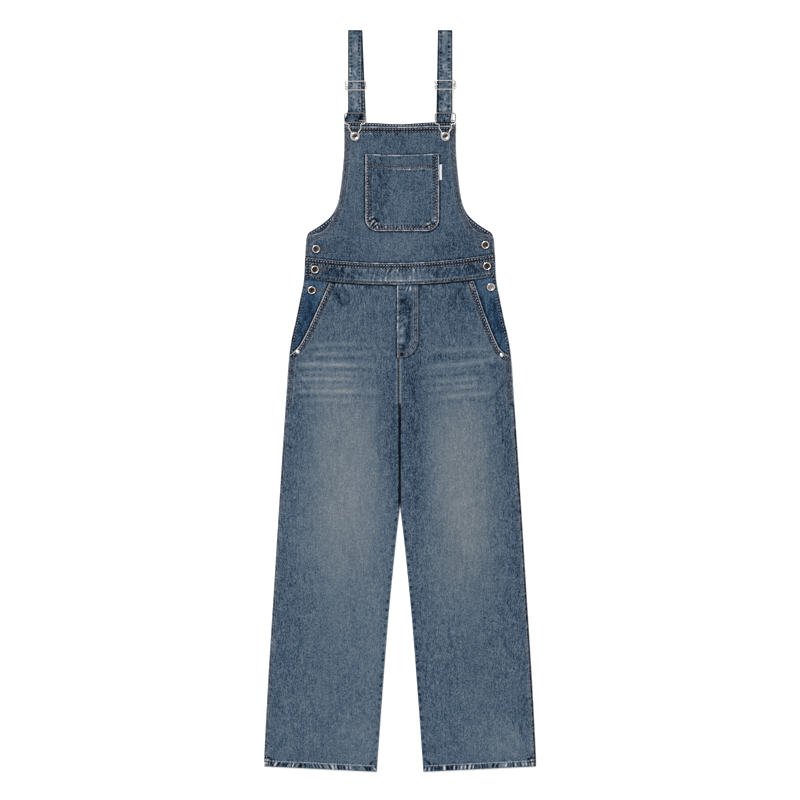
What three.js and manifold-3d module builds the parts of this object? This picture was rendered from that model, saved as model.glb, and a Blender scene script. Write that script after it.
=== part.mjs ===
// Denim dungarees laid flat, front up, with the straps pointing to +Y.
// Millimetres, +Z up. The origin lies on the surface below the middle of the whole garment.
// Left and right are as seen from above. In every table "up" is the place along Y, and "out" the
// distance from the middle line to an edge. The cloth lies in two layers, back below and front above.
import * as THREE from 'three';
import { mergeVertices } from 'three/addons/utils/BufferGeometryUtils.js';
import Module from 'manifold-3d';

const wasm = await Module();
wasm.setup();

// Cloth
const WALL = 1.4; // one layer of denim
const GAP = 0.3; // between neighbours, at seams and between layers
const EDGE = 1.2; // how far in from a cut edge the rounding reaches
const EDGE_SHARE = 0.45; // share of the wall that is left at the very edge
const LOFT = 1.5; // how far the front lifts off the back away from its edges
const LOFT_REACH = 20; // distance from an edge over which it lifts
const HEM_RISE = 1; // extra thickness of a turned hem
const SEAM_HALF = 0.2; // half the gap in the middle seams
const CROTCH_UP = -8;

// Side of the garment from the armhole down to the hem
const SIDE = [
  { up: 338, out: 197.4 },
  { up: 302, out: 199.5 },
  { up: 254, out: 202 },
  { up: 212, out: 210 },
  { up: 170, out: 218.5 },
  { up: 128, out: 228 },
  { up: 86, out: 233.6 },
  { up: 2, out: 239.5 },
  { up: -124, out: 248 },
  { up: -250, out: 256 },
  { up: -418, out: 266.5 },
  { up: -586, out: 277 },
  { up: -740, out: 285 },
  { up: -780, out: 285.6 },
];
// Inner edge of each leg, below the crotch
const INSEAM = [
  { up: CROTCH_UP, out: 0.5 },
  { up: -214, out: 0.5 },
  { up: -250, out: 3.4 },
  { up: -292, out: 8.4 },
  { up: -376, out: 17 },
  { up: -460, out: 25 },
  { up: -628, out: 38 },
  { up: -780, out: 49 },
];
// Armhole edge of the back, which shows past the front at the bottom of the armhole
const BACK_ARMHOLE = [
  { up: 586, out: 117.4 },
  { up: 522, out: 117.6 },
  { up: 472, out: 121.8 },
  { up: 439, out: 126 },
  { up: 418, out: 130 },
  { up: 402, out: 136 },
  { up: 388, out: 145 },
  { up: 372, out: 163 },
  { up: 360, out: 181 },
  { up: 354, out: 191 },
  { up: 347, out: 195 },
  { up: 338, out: 197.4 },
];
const FRONT_ARMHOLE = [
  { up: 586, out: 117.2 },
  { up: 522, out: 117.4 },
  { up: 472, out: 121.6 },
  { up: 439, out: 125.8 },
  { up: 415, out: 130 },
  { up: 395, out: 137 },
  { up: 381, out: 143 },
  { up: 368, out: 150.5 },
  { up: 360, out: 157.5 },
  { up: 354, out: 166.5 },
  { up: 349.5, out: 181 },
  { up: 345, out: 194.5 },
  { up: 338, out: 197.2 },
];
// Slanted pocket mouths, from the waistband to the side seam
const MOUTH = {
  left: [
    { up: 262, out: 141.5 },
    { up: 149, out: 193 },
    { up: 116, out: 211 },
    { up: 104, out: 222 },
    { up: 96, out: 232.4 },
  ],
  right: [
    { up: 262, out: 151.2 },
    { up: 181, out: 178.5 },
    { up: 113, out: 206.5 },
    { up: 101, out: 218 },
    { up: 91, out: 233 },
  ],
};
const FACING_UNDERLAP = 12; // how far a facing runs on below the pocket mouth
const FACING_END = 85;
const FACING_WIDE = 66;

// Edges that cross the garment, each a shallow curve: middle height, slope and bow
const BACK_TOP = { middle: 581.6, slope: 0.01, bow: 0.00018 };
const FRONT_TOP = { middle: 576, slope: 0.006, bow: 0 };
const WAIST_TOP = { middle: 289.6, slope: 0.0159, bow: 0.0004 };
const WAIST_BOTTOM = { middle: 244.5, slope: 0.0108, bow: 0.000383 };
const BACK_WAIST = { top: 300, bottom: 256 }; // the seams of the back are straight
const HEM = { outer: -767.6, inner: -779, outerOut: 285.6, innerOut: 49 };
const HEM_DEPTH = 12.5;
const HIP_DEPTH = 262; // zone below the waistband with the closest folds
const HIP_ROWS = 18;
const BIB_HEM_DEPTH = 11;
const WAISTBAND_WALL = 3;

// Largest soft folds of the front: centre, length and width, height, and turn from the X axis
const FOLDS = [
  { x: -137, up: 76, long: 130, wide: 9, high: 0.8, turn: -0.02 },
  { x: -122, up: 99, long: 120, wide: 8, high: 0.5, turn: 0.03 },
  { x: -115, up: 22, long: 170, wide: 10, high: 0.6, turn: -0.05 },
  { x: -160, up: 55, long: 90, wide: 8, high: 0.5, turn: 0.04 },
  { x: 122, up: 77, long: 130, wide: 9, high: 0.7, turn: 0.09 },
  { x: 105, up: 63, long: 120, wide: 8, high: 0.5, turn: 0.11 },
  { x: 130, up: 13, long: 140, wide: 10, high: 0.6, turn: 0.1 },
  { x: -70, up: -60, long: 220, wide: 22, high: 0.8, turn: 1.2 },
  { x: 75, up: -70, long: 240, wide: 24, high: 0.7, turn: -1.25 },
  { x: -150, up: -470, long: 420, wide: 30, high: 0.9, turn: 1.52 },
  { x: 160, up: -500, long: 400, wide: 28, high: 0.8, turn: -1.5 },
  { x: -150, up: -330, long: 150, wide: 16, high: -0.6, turn: 0.2 },
  { x: 150, up: -340, long: 150, wide: 16, high: -0.6, turn: -0.25 },
  { x: -90, up: 430, long: 150, wide: 18, high: 0.6, turn: 1.75 },
  { x: 100, up: 330, long: 130, wide: 14, high: -0.5, turn: 0.2 },
];

// Bib pocket, its tab and the fly
const POCKET = { left: -72.5, right: 81.9, top: 516.4, bow: 0.0005, bottom: 356.8, radius: 26 };
const CORNER_SHARES = [0.1, 0.22, 0.42, 0.68, 1];
const POCKET_HEM_DEPTH = 27;
const POCKET_LOFT = 0.7;
const TAB = { left: 82.3, right: 88, top: 496.4, bottom: 464, wall: 1.2 };
const FLY = { left: -6, right: 39, bottom: 90, radius: 38, wall: 1 };

// Straps: one ribbon each, lying in up to three layers
const STRAP_HALF = 15;
const STRAP_WALL = 1.8;
const STRAP_LEVEL = [0.9, 3, 5.1]; // middle of the lower, second and third layer
const STRAP_TOP_UP = 777.05; // where the strap turns over at the top
const BUCKLE_BAR = { up: 588.6, high: 5.4, radius: 1.2 };
const SLIDER_BAR = { high: 5.25, radius: 1.05 };
const OVER_SLIDER_BAR = SLIDER_BAR.high + SLIDER_BAR.radius + GAP + STRAP_WALL / 2;
const STRAPS = [
  { side: 'left', x: -94.1, skew: 5, slider: 662.3, buckle: -94.6, tilt: 0.01 },
  { side: 'right', x: 94.5, skew: -3.6, slider: 663.8, buckle: 95, tilt: -0.008 },
];

// Slider wire, a quarter of it: across, along and height
const SLIDER_QUARTER = [
  { x: 10, y: 9.1, z: 7.75 },
  { x: 17, y: 9.1, z: 7.7 },
  { x: 20.6, y: 7.6, z: 7.2 },
  { x: 21.5, y: 4.6, z: 6.3 },
  { x: 19.8, y: 1.4, z: 5.3 },
];
const SLIDER_BAR_HALF = 23.4;
const SLIDER_SHIFT = 0.4; // the slider lies a little to one side of its strap

// Buckle wire, one half of it, measured from the button's middle
const BUCKLE_HALF = [
  { x: 9, y: 48.2, z: 7.6 },
  { x: 17, y: 48.2, z: 7.5 },
  { x: 20.6, y: 46.4, z: 7.2 },
  { x: 21.4, y: 42, z: 6.7 },
  { x: 21.2, y: 32.3, z: 5.4 },
  { x: 21, y: 27.6, z: 5.6 },
  { x: 19.2, y: 25.4, z: 5.8 },
  { x: 14.6, y: 25, z: 6 },
  { x: 12.6, y: 23, z: 6 },
  { x: 12.7, y: 16.5, z: 6 },
  { x: 10.2, y: 12, z: 6 },
  { x: 7.4, y: 7.6, z: 6 },
  { x: 8.6, y: 1, z: 6 },
  { x: 6.8, y: -6, z: 6 },
];
const BUCKLE_RING_END = { x: 0, y: -9, z: 6 };
const BUTTON_UP = 556.3;
const WIRE_SIDES = 6;

// Buttons and rivets: half profiles from the axis, radius and height
const BUTTON_FACE = [
  [0, 1],
  [4.4, 1],
  [5, 2.6],
  [6.7, 3.2],
  [8.5, 1.7],
  [8.2, 0],
];
const RIVET_FACE = [
  [0, 1.6],
  [2, 1.4],
  [3.6, 0.8],
  [4.2, 0],
];
const STEM_RADIUS = 3;
const BUTTON_SEGMENTS = 14;
const SIDE_BUTTONS = {
  left: [
    { x: -176.4, up: 319, on: 'bib' },
    { x: -178.7, up: 276, on: 'waistband' },
    { x: -185.4, up: 232.5, on: 'facing' },
  ],
  right: [
    { x: 179.3, up: 327.6, on: 'bib' },
    { x: 182.7, up: 283.1, on: 'waistband' },
    { x: 190.7, up: 239, on: 'facing' },
  ],
};
const RIVETS = [
  { side: 'left', x: -214.6, up: 103 },
  { side: 'right', x: 213.4, up: 96 },
];

// Finishes
const denim = new THREE.MeshStandardMaterial({ color: 0x52677a, roughness: 0.95, metalness: 0 });
const deepDenim = new THREE.MeshStandardMaterial({ color: 0x34506e, roughness: 0.95, metalness: 0 });
const whiteTape = new THREE.MeshStandardMaterial({ color: 0xf2f2f0, roughness: 0.8, metalness: 0 });
const nickel = new THREE.MeshStandardMaterial({ color: 0xc9c8c4, roughness: 0.25, metalness: 1 });
const copper = new THREE.MeshStandardMaterial({ color: 0x8a5a44, roughness: 0.4, metalness: 1 });

// Small helpers

const mix = (a, b, t) => a + (b - a) * t;

/** Goes smoothly from 0 at "from" to 1 at "to". */
function ease(from, to, value) {
  const t = Math.min(1, Math.max(0, (value - from) / (to - from)));
  return t * t * (3 - 2 * t);
}

/** Reads a table of up and out as a smooth curve, with a slope at each row from its two neighbours. */
function reader(table) {
  const rows = [...table].sort((a, b) => a.up - b.up);
  const slope = rows.map((row, k) => {
    const before = rows[Math.max(0, k - 1)];
    const after = rows[Math.min(rows.length - 1, k + 1)];
    return (after.out - before.out) / (after.up - before.up);
  });
  return (up) => {
    const at = Math.min(Math.max(up, rows[0].up), rows.at(-1).up);
    const k = Math.max(1, rows.findIndex((row) => row.up >= at));
    const [a, b] = [rows[k - 1], rows[k]];
    const span = b.up - a.up;
    const t = (at - a.up) / span;
    const value = (2 * t ** 3 - 3 * t ** 2 + 1) * a.out + (3 * t ** 2 - 2 * t ** 3) * b.out;
    return value + span * ((t ** 3 - 2 * t ** 2 + t) * slope[k - 1] + (t ** 3 - t ** 2) * slope[k]);
  };
}

const side = reader(SIDE);
const inseam = reader(INSEAM);
const backArmhole = reader(BACK_ARMHOLE);
const frontArmhole = reader(FRONT_ARMHOLE);
const mouths = { left: reader(MOUTH.left), right: reader(MOUTH.right) };
const mouthEnd = { left: MOUTH.left.at(-1).up, right: MOUTH.right.at(-1).up };

const crossing = (edge) => (x) => edge.middle + edge.slope * x + edge.bow * x * x;
const backTop = crossing(BACK_TOP);
const frontTop = crossing(FRONT_TOP);
const waistTop = crossing(WAIST_TOP);
const waistBottom = crossing(WAIST_BOTTOM);

/** The slanted lower edge of a leg, at a distance from the middle line. */
function hemUp(out) {
  return mix(HEM.inner, HEM.outer, (out - HEM.innerOut) / (HEM.outerOut - HEM.innerOut));
}

/** Half the width of the front at a height, along the armhole above and the side seam below. */
function frontOut(up) {
  return up > SIDE[0].up ? frontArmhole(up) : side(up);
}

/** Inner edge of a leg: the middle seam above the crotch and the inseam below it. */
function innerOut(up) {
  return up > CROTCH_UP ? mix(SEAM_HALF, INSEAM[0].out, ease(CROTCH_UP + 20, CROTCH_UP, up)) : inseam(up);
}

// Heights of the front layer

/** The soft folds together: each one a ridge that fades out at its ends. */
function folds(x, up) {
  let height = 0;
  for (const fold of FOLDS) {
    const dx = x - fold.x;
    const dy = up - fold.up;
    const along = (dx * Math.cos(fold.turn) + dy * Math.sin(fold.turn)) / (fold.long / 2);
    const across = (dy * Math.cos(fold.turn) - dx * Math.sin(fold.turn)) / fold.wide;
    height += fold.high * Math.exp(-across * across) * Math.exp(-(along ** 4));
  }
  return height;
}

/** Underside of the front cloth: on the back cloth at the edges, lifted a little between them. */
function under(x, up) {
  const out = Math.abs(x);
  const fromSide = ease(0, LOFT_REACH, frontOut(up) - out);
  const legs = ease(CROTCH_UP + 60, CROTCH_UP - 20, up);
  const fromInseam = mix(1, ease(-6, LOFT_REACH, out - innerOut(up)), legs);
  const fromHem = mix(0.4, 1, ease(0, 60, up - hemUp(out)));
  const bib = mix(1, 0.35, ease(waistBottom(x), waistTop(x) + 20, up));
  const lift = LOFT * fromSide * fromInseam * fromHem * bib;
  return WALL + GAP + lift + folds(x, up) * fromSide * fromInseam;
}

/** How fully the front leg is carried by the pocket facing below it, from 0 to 1. */
function onFacing(name, x, up) {
  const inside = mouths[name](up) - Math.abs(x);
  return (1 - ease(FACING_UNDERLAP + 2, FACING_UNDERLAP + 24, inside)) * ease(FACING_END - 40, FACING_END - 1, up);
}

const legUnder = (name) => (x, up) => under(x, up) + (WALL + GAP) * onFacing(name, x, up);
const hemAdd = (depth, distance) => HEM_RISE * (1 - ease(depth, depth + EDGE, distance));

const topOf = {
  bib: (x, up) => under(x, up) + WALL + hemAdd(BIB_HEM_DEPTH, frontTop(x) - up),
  waistband: (x, up) => under(x, up) + WAISTBAND_WALL,
  facing: (x, up) => under(x, up) + WALL,
  left: (x, up) => legUnder('left')(x, up) + WALL,
  right: (x, up) => legUnder('right')(x, up) + WALL,
  legs: (x, up) => Math.max(topOf.left(x, up), topOf.right(x, up)),
};

/** The highest point of a surface below a disc. */
function seat(surface, x, up, radius) {
  let highest = surface(x, up);
  for (let k = 0; k < 12; k += 1) {
    const angle = (k / 12) * 2 * Math.PI;
    highest = Math.max(highest, surface(x + radius * Math.cos(angle), up + radius * Math.sin(angle)));
  }
  return highest;
}

// Building solids

/** A closed solid from points and faces of three or four corners, turned so that its faces point out. */
function solid(points, faces) {
  const corners = faces.flatMap(([a, b, c, d]) => (d === undefined ? [a, b, c] : [a, b, c, a, c, d]));
  let volume = 0;
  for (let k = 0; k < corners.length; k += 3) {
    const [p, q, r] = [points[corners[k]], points[corners[k + 1]], points[corners[k + 2]]];
    volume += p.dot(new THREE.Vector3().crossVectors(q, r)) / 6;
  }
  if (volume < 0) corners.reverse();
  const geometry = new THREE.BufferGeometry();
  geometry.setAttribute('position', new THREE.Float32BufferAttribute(points.flatMap((p) => p.toArray()), 3));
  geometry.setIndex(corners);
  geometry.computeVertexNormals();
  return geometry;
}

/** Shares of a length: both ends, one close to each, the marks, and even steps between all these. */
function stations(length, step, marks = []) {
  const fixed = [EDGE, ...marks, length - EDGE, length].sort((a, b) => a - b);
  const distances = [0];
  for (const to of fixed) {
    const from = distances.at(-1);
    const count = Math.max(1, Math.ceil((to - from) / step - 0.01));
    for (let k = 1; k <= count; k += 1) distances.push(mix(from, to, k / count));
  }
  return distances.map((distance) => distance / length);
}

/**
 * A cloth panel as a closed wall. Its rows go down from the edge "above" to the edge "below", each a height
 * at a place across, and its columns go from the edge "start" to the edge "end", each a place at a height.
 * The two are solved together in a few rounds.
 */
function panel({ above, below, start, end, rows, columns, bottom, wall }) {
  const top = [];
  const base = [];
  rows.forEach((v, j) => {
    columns.forEach((u, i) => {
      let y = mix(above(0), below(0), v);
      let x = 0;
      for (let round = 0; round < 8; round += 1) {
        x = mix(start(y), end(y), u);
        y = mix(above(x), below(x), v);
      }
      const atEdge = j === 0 || i === 0 || j === rows.length - 1 || i === columns.length - 1;
      const low = bottom(x, y);
      base.push(new THREE.Vector3(x, y, low));
      top.push(new THREE.Vector3(x, y, low + wall(x, y) * (atEdge ? EDGE_SHARE : 1)));
    });
  });
  const wide = columns.length;
  const many = top.length;
  const faces = [];
  for (let j = 0; j + 1 < rows.length; j += 1) {
    for (let i = 0; i + 1 < wide; i += 1) {
      const a = j * wide + i;
      faces.push([a, a + 1, a + wide + 1, a + wide]);
      faces.push([many + a, many + a + wide, many + a + wide + 1, many + a + 1]);
    }
  }
  const rim = [];
  for (let i = 0; i < wide; i += 1) rim.push(i);
  for (let j = 1; j < rows.length; j += 1) rim.push(j * wide + wide - 1);
  for (let i = wide - 2; i >= 0; i -= 1) rim.push((rows.length - 1) * wide + i);
  for (let j = rows.length - 2; j > 0; j -= 1) rim.push(j * wide);
  rim.forEach((a, k) => {
    const b = rim[(k + 1) % rim.length];
    faces.push([b, a, many + a, many + b]);
  });
  return solid([...top, ...base], faces);
}

/** Joins rings of points into a tube, closed on itself or with a flat cap at each end. */
function tube(rings, closed) {
  const sides = rings[0].length;
  const faces = [];
  const last = closed ? rings.length : rings.length - 1;
  for (let j = 0; j < last; j += 1) {
    const next = (j + 1) % rings.length;
    for (let i = 0; i < sides; i += 1) {
      const k = (i + 1) % sides;
      faces.push([j * sides + i, j * sides + k, next * sides + k, next * sides + i]);
    }
  }
  if (!closed) {
    for (let i = 1; i + 1 < sides; i += 1) {
      const end = (rings.length - 1) * sides;
      faces.push([0, i + 1, i]);
      faces.push([end, end + i, end + i + 1]);
    }
  }
  return solid(rings.flat(), faces);
}

/** Round wire along a closed line of points that lies nearly level. */
function wireLoop(points, radius, samples) {
  const curve = new THREE.CatmullRomCurve3(points, true, 'centripetal');
  const rings = [];
  for (let j = 0; j < samples; j += 1) {
    const centre = curve.getPoint(j / samples);
    const along = curve.getTangent(j / samples);
    const across = new THREE.Vector3().crossVectors(along, new THREE.Vector3(0, 0, 1)).normalize();
    const up = new THREE.Vector3().crossVectors(across, along);
    rings.push(
      Array.from({ length: WIRE_SIDES }, (_, k) => {
        const angle = (k / WIRE_SIDES) * 2 * Math.PI;
        return centre
          .clone()
          .addScaledVector(across, radius * Math.cos(angle))
          .addScaledVector(up, radius * Math.sin(angle));
      }),
    );
  }
  return tube(rings, true);
}

/** A straight round bar along X. */
function bar(half, radius, up, high) {
  const geometry = new THREE.CylinderGeometry(radius, radius, 2 * half, WIRE_SIDES + 2);
  geometry.rotateZ(Math.PI / 2);
  geometry.translate(0, up, high);
  return geometry;
}

/** Two closed shapes joined into one. */
function fuse(first, second) {
  const [a, b] = [first, second].map((geometry) => {
    const plain = geometry.clone();
    plain.deleteAttribute('normal');
    plain.deleteAttribute('uv');
    const merged = mergeVertices(plain, 1e-4);
    return new wasm.Manifold(
      new wasm.Mesh({
        numProp: 3,
        vertProperties: new Float32Array(merged.attributes.position.array),
        triVerts: new Uint32Array(merged.index.array),
      }),
    );
  });
  const joined = a.add(b).getMesh();
  const geometry = new THREE.BufferGeometry();
  geometry.setAttribute('position', new THREE.BufferAttribute(new Float32Array(joined.vertProperties), 3));
  geometry.setIndex(new THREE.BufferAttribute(new Uint32Array(joined.triVerts), 1));
  geometry.computeVertexNormals();
  return geometry;
}

const dungarees = new THREE.Group();

function piece(name, geometry, material) {
  const mesh = new THREE.Mesh(geometry, material);
  mesh.name = name;
  dungarees.add(mesh);
  return mesh;
}

// Back layer, flat on the surface

const flat = () => 0;
const oneWall = () => WALL;

/** Distances from a top edge down to the rows of a table. */
function marksOf(table, top, bottom) {
  return table.map((row) => top - row.up).filter((distance) => distance > 4 && distance < top - bottom - 4);
}

const SEAMS = [['left', -1], ['right', 1]];
const backOut = (up) => (up > SIDE[0].up ? backArmhole(up) : side(up));

function backPieces() {
  piece(
    'back_bib',
    panel({
      above: backTop,
      below: () => BACK_WAIST.top + GAP,
      start: (y) => -backOut(y),
      end: backOut,
      rows: stations(BACK_TOP.middle - BACK_WAIST.top, 40, marksOf(BACK_ARMHOLE, BACK_TOP.middle, BACK_WAIST.top)),
      columns: stations(2 * SIDE[0].out, 66),
      bottom: flat,
      wall: oneWall,
    }),
    denim,
  );
  piece(
    'back_waistband',
    panel({
      above: () => BACK_WAIST.top,
      below: () => BACK_WAIST.bottom,
      start: (y) => -side(y),
      end: side,
      rows: stations(BACK_WAIST.top - BACK_WAIST.bottom, 30),
      columns: stations(2 * SIDE[0].out, 130),
      bottom: flat,
      wall: oneWall,
    }),
    denim,
  );
  for (const [name, sign] of SEAMS) {
    piece(
      `back_leg_${name}`,
      panel({
        above: () => BACK_WAIST.bottom - GAP,
        below: (x) => hemUp(Math.abs(x)),
        start: (y) => sign * side(y),
        end: (y) => sign * innerOut(y),
        rows: stations(BACK_WAIST.bottom - HEM.inner, 75),
        columns: stations(HEM.outerOut - HEM.innerOut, 120),
        bottom: flat,
        wall: oneWall,
      }),
      denim,
    );
  }
}

// Front layer

function frontBib() {
  const tall = FRONT_TOP.middle - WAIST_TOP.middle;
  const marks = marksOf(FRONT_ARMHOLE, FRONT_TOP.middle, WAIST_TOP.middle).filter((mark) => mark > BIB_HEM_DEPTH + 5);
  return panel({
    above: frontTop,
    below: (x) => waistTop(x) + GAP,
    start: (y) => -frontOut(y),
    end: frontOut,
    rows: stations(tall, 22, [BIB_HEM_DEPTH, BIB_HEM_DEPTH + EDGE, ...marks]),
    columns: stations(2 * SIDE[0].out, 43, [9, 2 * SIDE[0].out - 9]),
    bottom: under,
    wall: (x, y) => topOf.bib(x, y) - under(x, y),
  });
}

function frontWaistband() {
  return panel({
    above: waistTop,
    below: waistBottom,
    start: (y) => -side(y),
    end: side,
    rows: stations(WAIST_TOP.middle - WAIST_BOTTOM.middle, 15),
    columns: stations(2 * SIDE[0].out, 26, [9, 2 * SIDE[0].out - 9]),
    bottom: under,
    wall: () => WAISTBAND_WALL,
  });
}

function frontLeg(name, sign) {
  const tall = WAIST_BOTTOM.middle - HEM.inner;
  const wide = HEM.outerOut - HEM.innerOut;
  const hip = Array.from({ length: HIP_ROWS }, (_, k) => ((k + 1) * HIP_DEPTH) / HIP_ROWS);
  return panel({
    above: (x) => waistBottom(x) - GAP,
    below: (x) => hemUp(Math.abs(x)),
    start: (y) => sign * (y > mouthEnd[name] ? mouths[name](y) : side(y)),
    end: (y) => sign * innerOut(y),
    rows: stations(tall, 56, [...hip, tall - HEM_DEPTH - EDGE, tall - HEM_DEPTH]),
    columns: stations(wide, 34, [8, 18, wide - 18, wide - 8]),
    bottom: legUnder(name),
    wall: (x, y) => WALL + hemAdd(HEM_DEPTH, y - hemUp(Math.abs(x))),
  });
}

function pocketFacing(name, sign) {
  return panel({
    above: (x) => waistBottom(x) - GAP,
    below: () => FACING_END,
    start: (y) => sign * side(y),
    end: (y) => sign * ((y > mouthEnd[name] ? mouths[name](y) : side(y)) - FACING_UNDERLAP),
    rows: stations(WAIST_BOTTOM.middle - FACING_END, 14),
    columns: stations(FACING_WIDE, 22),
    bottom: under,
    wall: oneWall,
  });
}

// Pieces that lie on the front

/** How far a rounded lower corner draws an edge in at a height. */
function cornerInset(shape, y) {
  const into = Math.max(0, shape.bottom + shape.radius - y);
  return shape.radius - Math.sqrt(Math.max(0, shape.radius ** 2 - Math.min(into, shape.radius) ** 2));
}

/** Rows that follow a rounded lower corner, as distances from the top edge. */
function cornerMarks(shape, tall) {
  return CORNER_SHARES.map((share) => tall - share * shape.radius);
}

function pocketBottom(x, y) {
  const middle = (POCKET.left + POCKET.right) / 2;
  const half = (POCKET.right - POCKET.left) / 2;
  const tall = POCKET.top - POCKET.bottom;
  const across = Math.max(0, 1 - ((x - middle) / half) ** 2);
  const along = Math.max(0, 1 - ((y - POCKET.bottom - tall / 2) / (tall / 2)) ** 4);
  return topOf.bib(x, y) + GAP + POCKET_LOFT * across * along;
}

function bibPocket() {
  const tall = POCKET.top - POCKET.bottom;
  const inset = POCKET.radius * 0.92;
  const topAt = (x) => POCKET.top + POCKET.bow * x * x;
  return panel({
    above: topAt,
    below: () => POCKET.bottom,
    start: (y) => POCKET.left + Math.min(inset, cornerInset(POCKET, y)),
    end: (y) => POCKET.right - Math.min(inset, cornerInset(POCKET, y)),
    rows: stations(tall, 22, [POCKET_HEM_DEPTH, POCKET_HEM_DEPTH + EDGE, ...cornerMarks(POCKET, tall)]),
    columns: stations(POCKET.right - POCKET.left, 25),
    bottom: pocketBottom,
    wall: (x, y) => WALL + hemAdd(POCKET_HEM_DEPTH, topAt(x) - y) * 0.6,
  });
}

function pocketTab() {
  return panel({
    above: () => TAB.top,
    below: () => TAB.bottom,
    start: () => TAB.left,
    end: () => TAB.right,
    rows: stations(TAB.top - TAB.bottom, 10),
    columns: stations(TAB.right - TAB.left, 4),
    bottom: (x, y) => topOf.bib(x, y) + GAP,
    wall: () => TAB.wall,
  });
}

function fly() {
  const inset = FLY.radius * 0.95;
  const tall = WAIST_BOTTOM.middle - FLY.bottom;
  return panel({
    above: (x) => waistBottom(x) - GAP,
    below: () => FLY.bottom,
    start: () => FLY.left,
    end: (y) => FLY.right - Math.min(inset, cornerInset(FLY, y)),
    rows: stations(tall, 11, cornerMarks(FLY, tall)),
    columns: stations(FLY.right - FLY.left, 16),
    bottom: (x, y) => topOf.legs(x, y) + GAP,
    wall: () => FLY.wall,
  });
}

// Straps and hardware

/** Points on an arc in the upright plane along Y, between two angles, ends left out. */
function arc(up, high, radius, from, to, count) {
  return Array.from({ length: count }, (_, k) => {
    const angle = mix(from, to, (k + 1) / (count + 1));
    return { up: up + radius * Math.cos(angle), z: high + radius * Math.sin(angle) };
  });
}

/** Middle line of a strap: up from the back bib, over the top fold, down through the slider, round the
 * buckle's bar, and back up behind itself to the slider's bar. */
function strapLine(strap) {
  const [low, second, third] = STRAP_LEVEL;
  const foot = strap.x + strap.skew;
  const start = Math.max(backTop(foot - STRAP_HALF), backTop(foot + STRAP_HALF)) + 2 * GAP;
  const slider = strap.slider;
  const turn = (second - low) / 2;
  const barTurn = BUCKLE_BAR.high - second;
  const sliderTurn = SLIDER_BAR.high - second;
  const rise = (steps, from, to, z0, z1) =>
    steps.map((t) => ({ up: mix(from, to, t), z: mix(z0, z1, ease(0, 1, t)) }));
  const evenly = [0, 0.35, 0.7, 1];
  const climb = [0.25, 0.5, 0.75];
  const back = rise(evenly, start, STRAP_TOP_UP, low, low);
  const bend = arc(STRAP_TOP_UP, (low + second) / 2, turn, -Math.PI / 2, Math.PI / 2, 4);
  const front = [
    ...rise(evenly, STRAP_TOP_UP, slider + 34, second, second),
    ...rise(climb, slider + 34, slider + 9.1, second, 5.5),
    ...rise([0, 0.3, 0.6], slider + 9.1, slider, 5.5, OVER_SLIDER_BAR),
    ...rise([0, 0.4, 0.7], slider, slider - 9.1, OVER_SLIDER_BAR, 5.5),
    ...rise([0, 0.5, 1], slider - 9.1, slider - 22, 5.5, third),
    ...rise([0.5, 1], slider - 22, BUCKLE_BAR.up + 19, third, third),
    ...rise(climb, BUCKLE_BAR.up + 19, BUCKLE_BAR.up + 4, third, BUCKLE_BAR.high + barTurn),
    { up: BUCKLE_BAR.up, z: BUCKLE_BAR.high + barTurn },
  ];
  const round = arc(BUCKLE_BAR.up, BUCKLE_BAR.high, barTurn, Math.PI / 2, (3 * Math.PI) / 2, 5);
  const tail = rise([0, 0.3, 0.7, 1], BUCKLE_BAR.up, slider, second, second);
  const hook = arc(slider, SLIDER_BAR.high, sliderTurn, -Math.PI / 2, 0.1, 3);
  const place = (shift) => (point) => ({ ...point, x: strap.x + shift(point) });
  const fallen = (point) => (STRAP_TOP_UP - point.up) / (STRAP_TOP_UP - start);
  return [
    ...back.map(place((point) => strap.skew * fallen(point))),
    ...bend.map(place(() => 0)),
    ...front.map(place(() => 0)),
    ...round.map(place(() => 0)),
    ...tail.map(place(() => 0)),
    ...hook.map(place(() => 0)),
  ];
}

/** A strap as a ribbon with narrowed edges, each section set square to its line. */
function ribbon(line) {
  const half = STRAP_WALL / 2;
  const section = [
    [-STRAP_HALF, 0],
    [-STRAP_HALF + 1, half],
    [STRAP_HALF - 1, half],
    [STRAP_HALF, 0],
    [STRAP_HALF - 1, -half],
    [-STRAP_HALF + 1, -half],
  ];
  const rings = line.map((point, k) => {
    const before = line[Math.max(0, k - 1)];
    const after = line[Math.min(line.length - 1, k + 1)];
    const length = Math.hypot(after.up - before.up, after.z - before.z);
    const normalUp = -(after.z - before.z) / length;
    const normalZ = (after.up - before.up) / length;
    return section.map(
      ([x, n]) => new THREE.Vector3(point.x + x, point.up + n * normalUp, point.z + n * normalZ),
    );
  });
  return tube(rings, false);
}

function sliderWire() {
  const quarter = SLIDER_QUARTER.map(({ x, y, z }) => new THREE.Vector3(x, y, z));
  const flip = (points, sx, sy) => points.map((p) => new THREE.Vector3(sx * p.x, sy * p.y, p.z));
  const loop = [
    ...quarter,
    ...flip([...quarter].reverse(), 1, -1),
    ...flip(quarter, -1, -1),
    ...flip([...quarter].reverse(), -1, 1),
  ];
  return fuse(wireLoop(loop, SLIDER_BAR.radius, 40), bar(SLIDER_BAR_HALF, SLIDER_BAR.radius, 0, SLIDER_BAR.high));
}

function buckleWire() {
  const half = BUCKLE_HALF.map(({ x, y, z }) => new THREE.Vector3(x, y, z));
  const end = new THREE.Vector3(BUCKLE_RING_END.x, BUCKLE_RING_END.y, BUCKLE_RING_END.z);
  const mirrored = [...half].reverse().map((p) => new THREE.Vector3(-p.x, p.y, p.z));
  const wire = wireLoop([...half, end, ...mirrored], BUCKLE_BAR.radius, 64);
  return fuse(wire, bar(BUCKLE_HALF[4].x, BUCKLE_BAR.radius * 0.98, BUCKLE_BAR.up - BUTTON_UP, BUCKLE_BAR.high));
}

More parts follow.
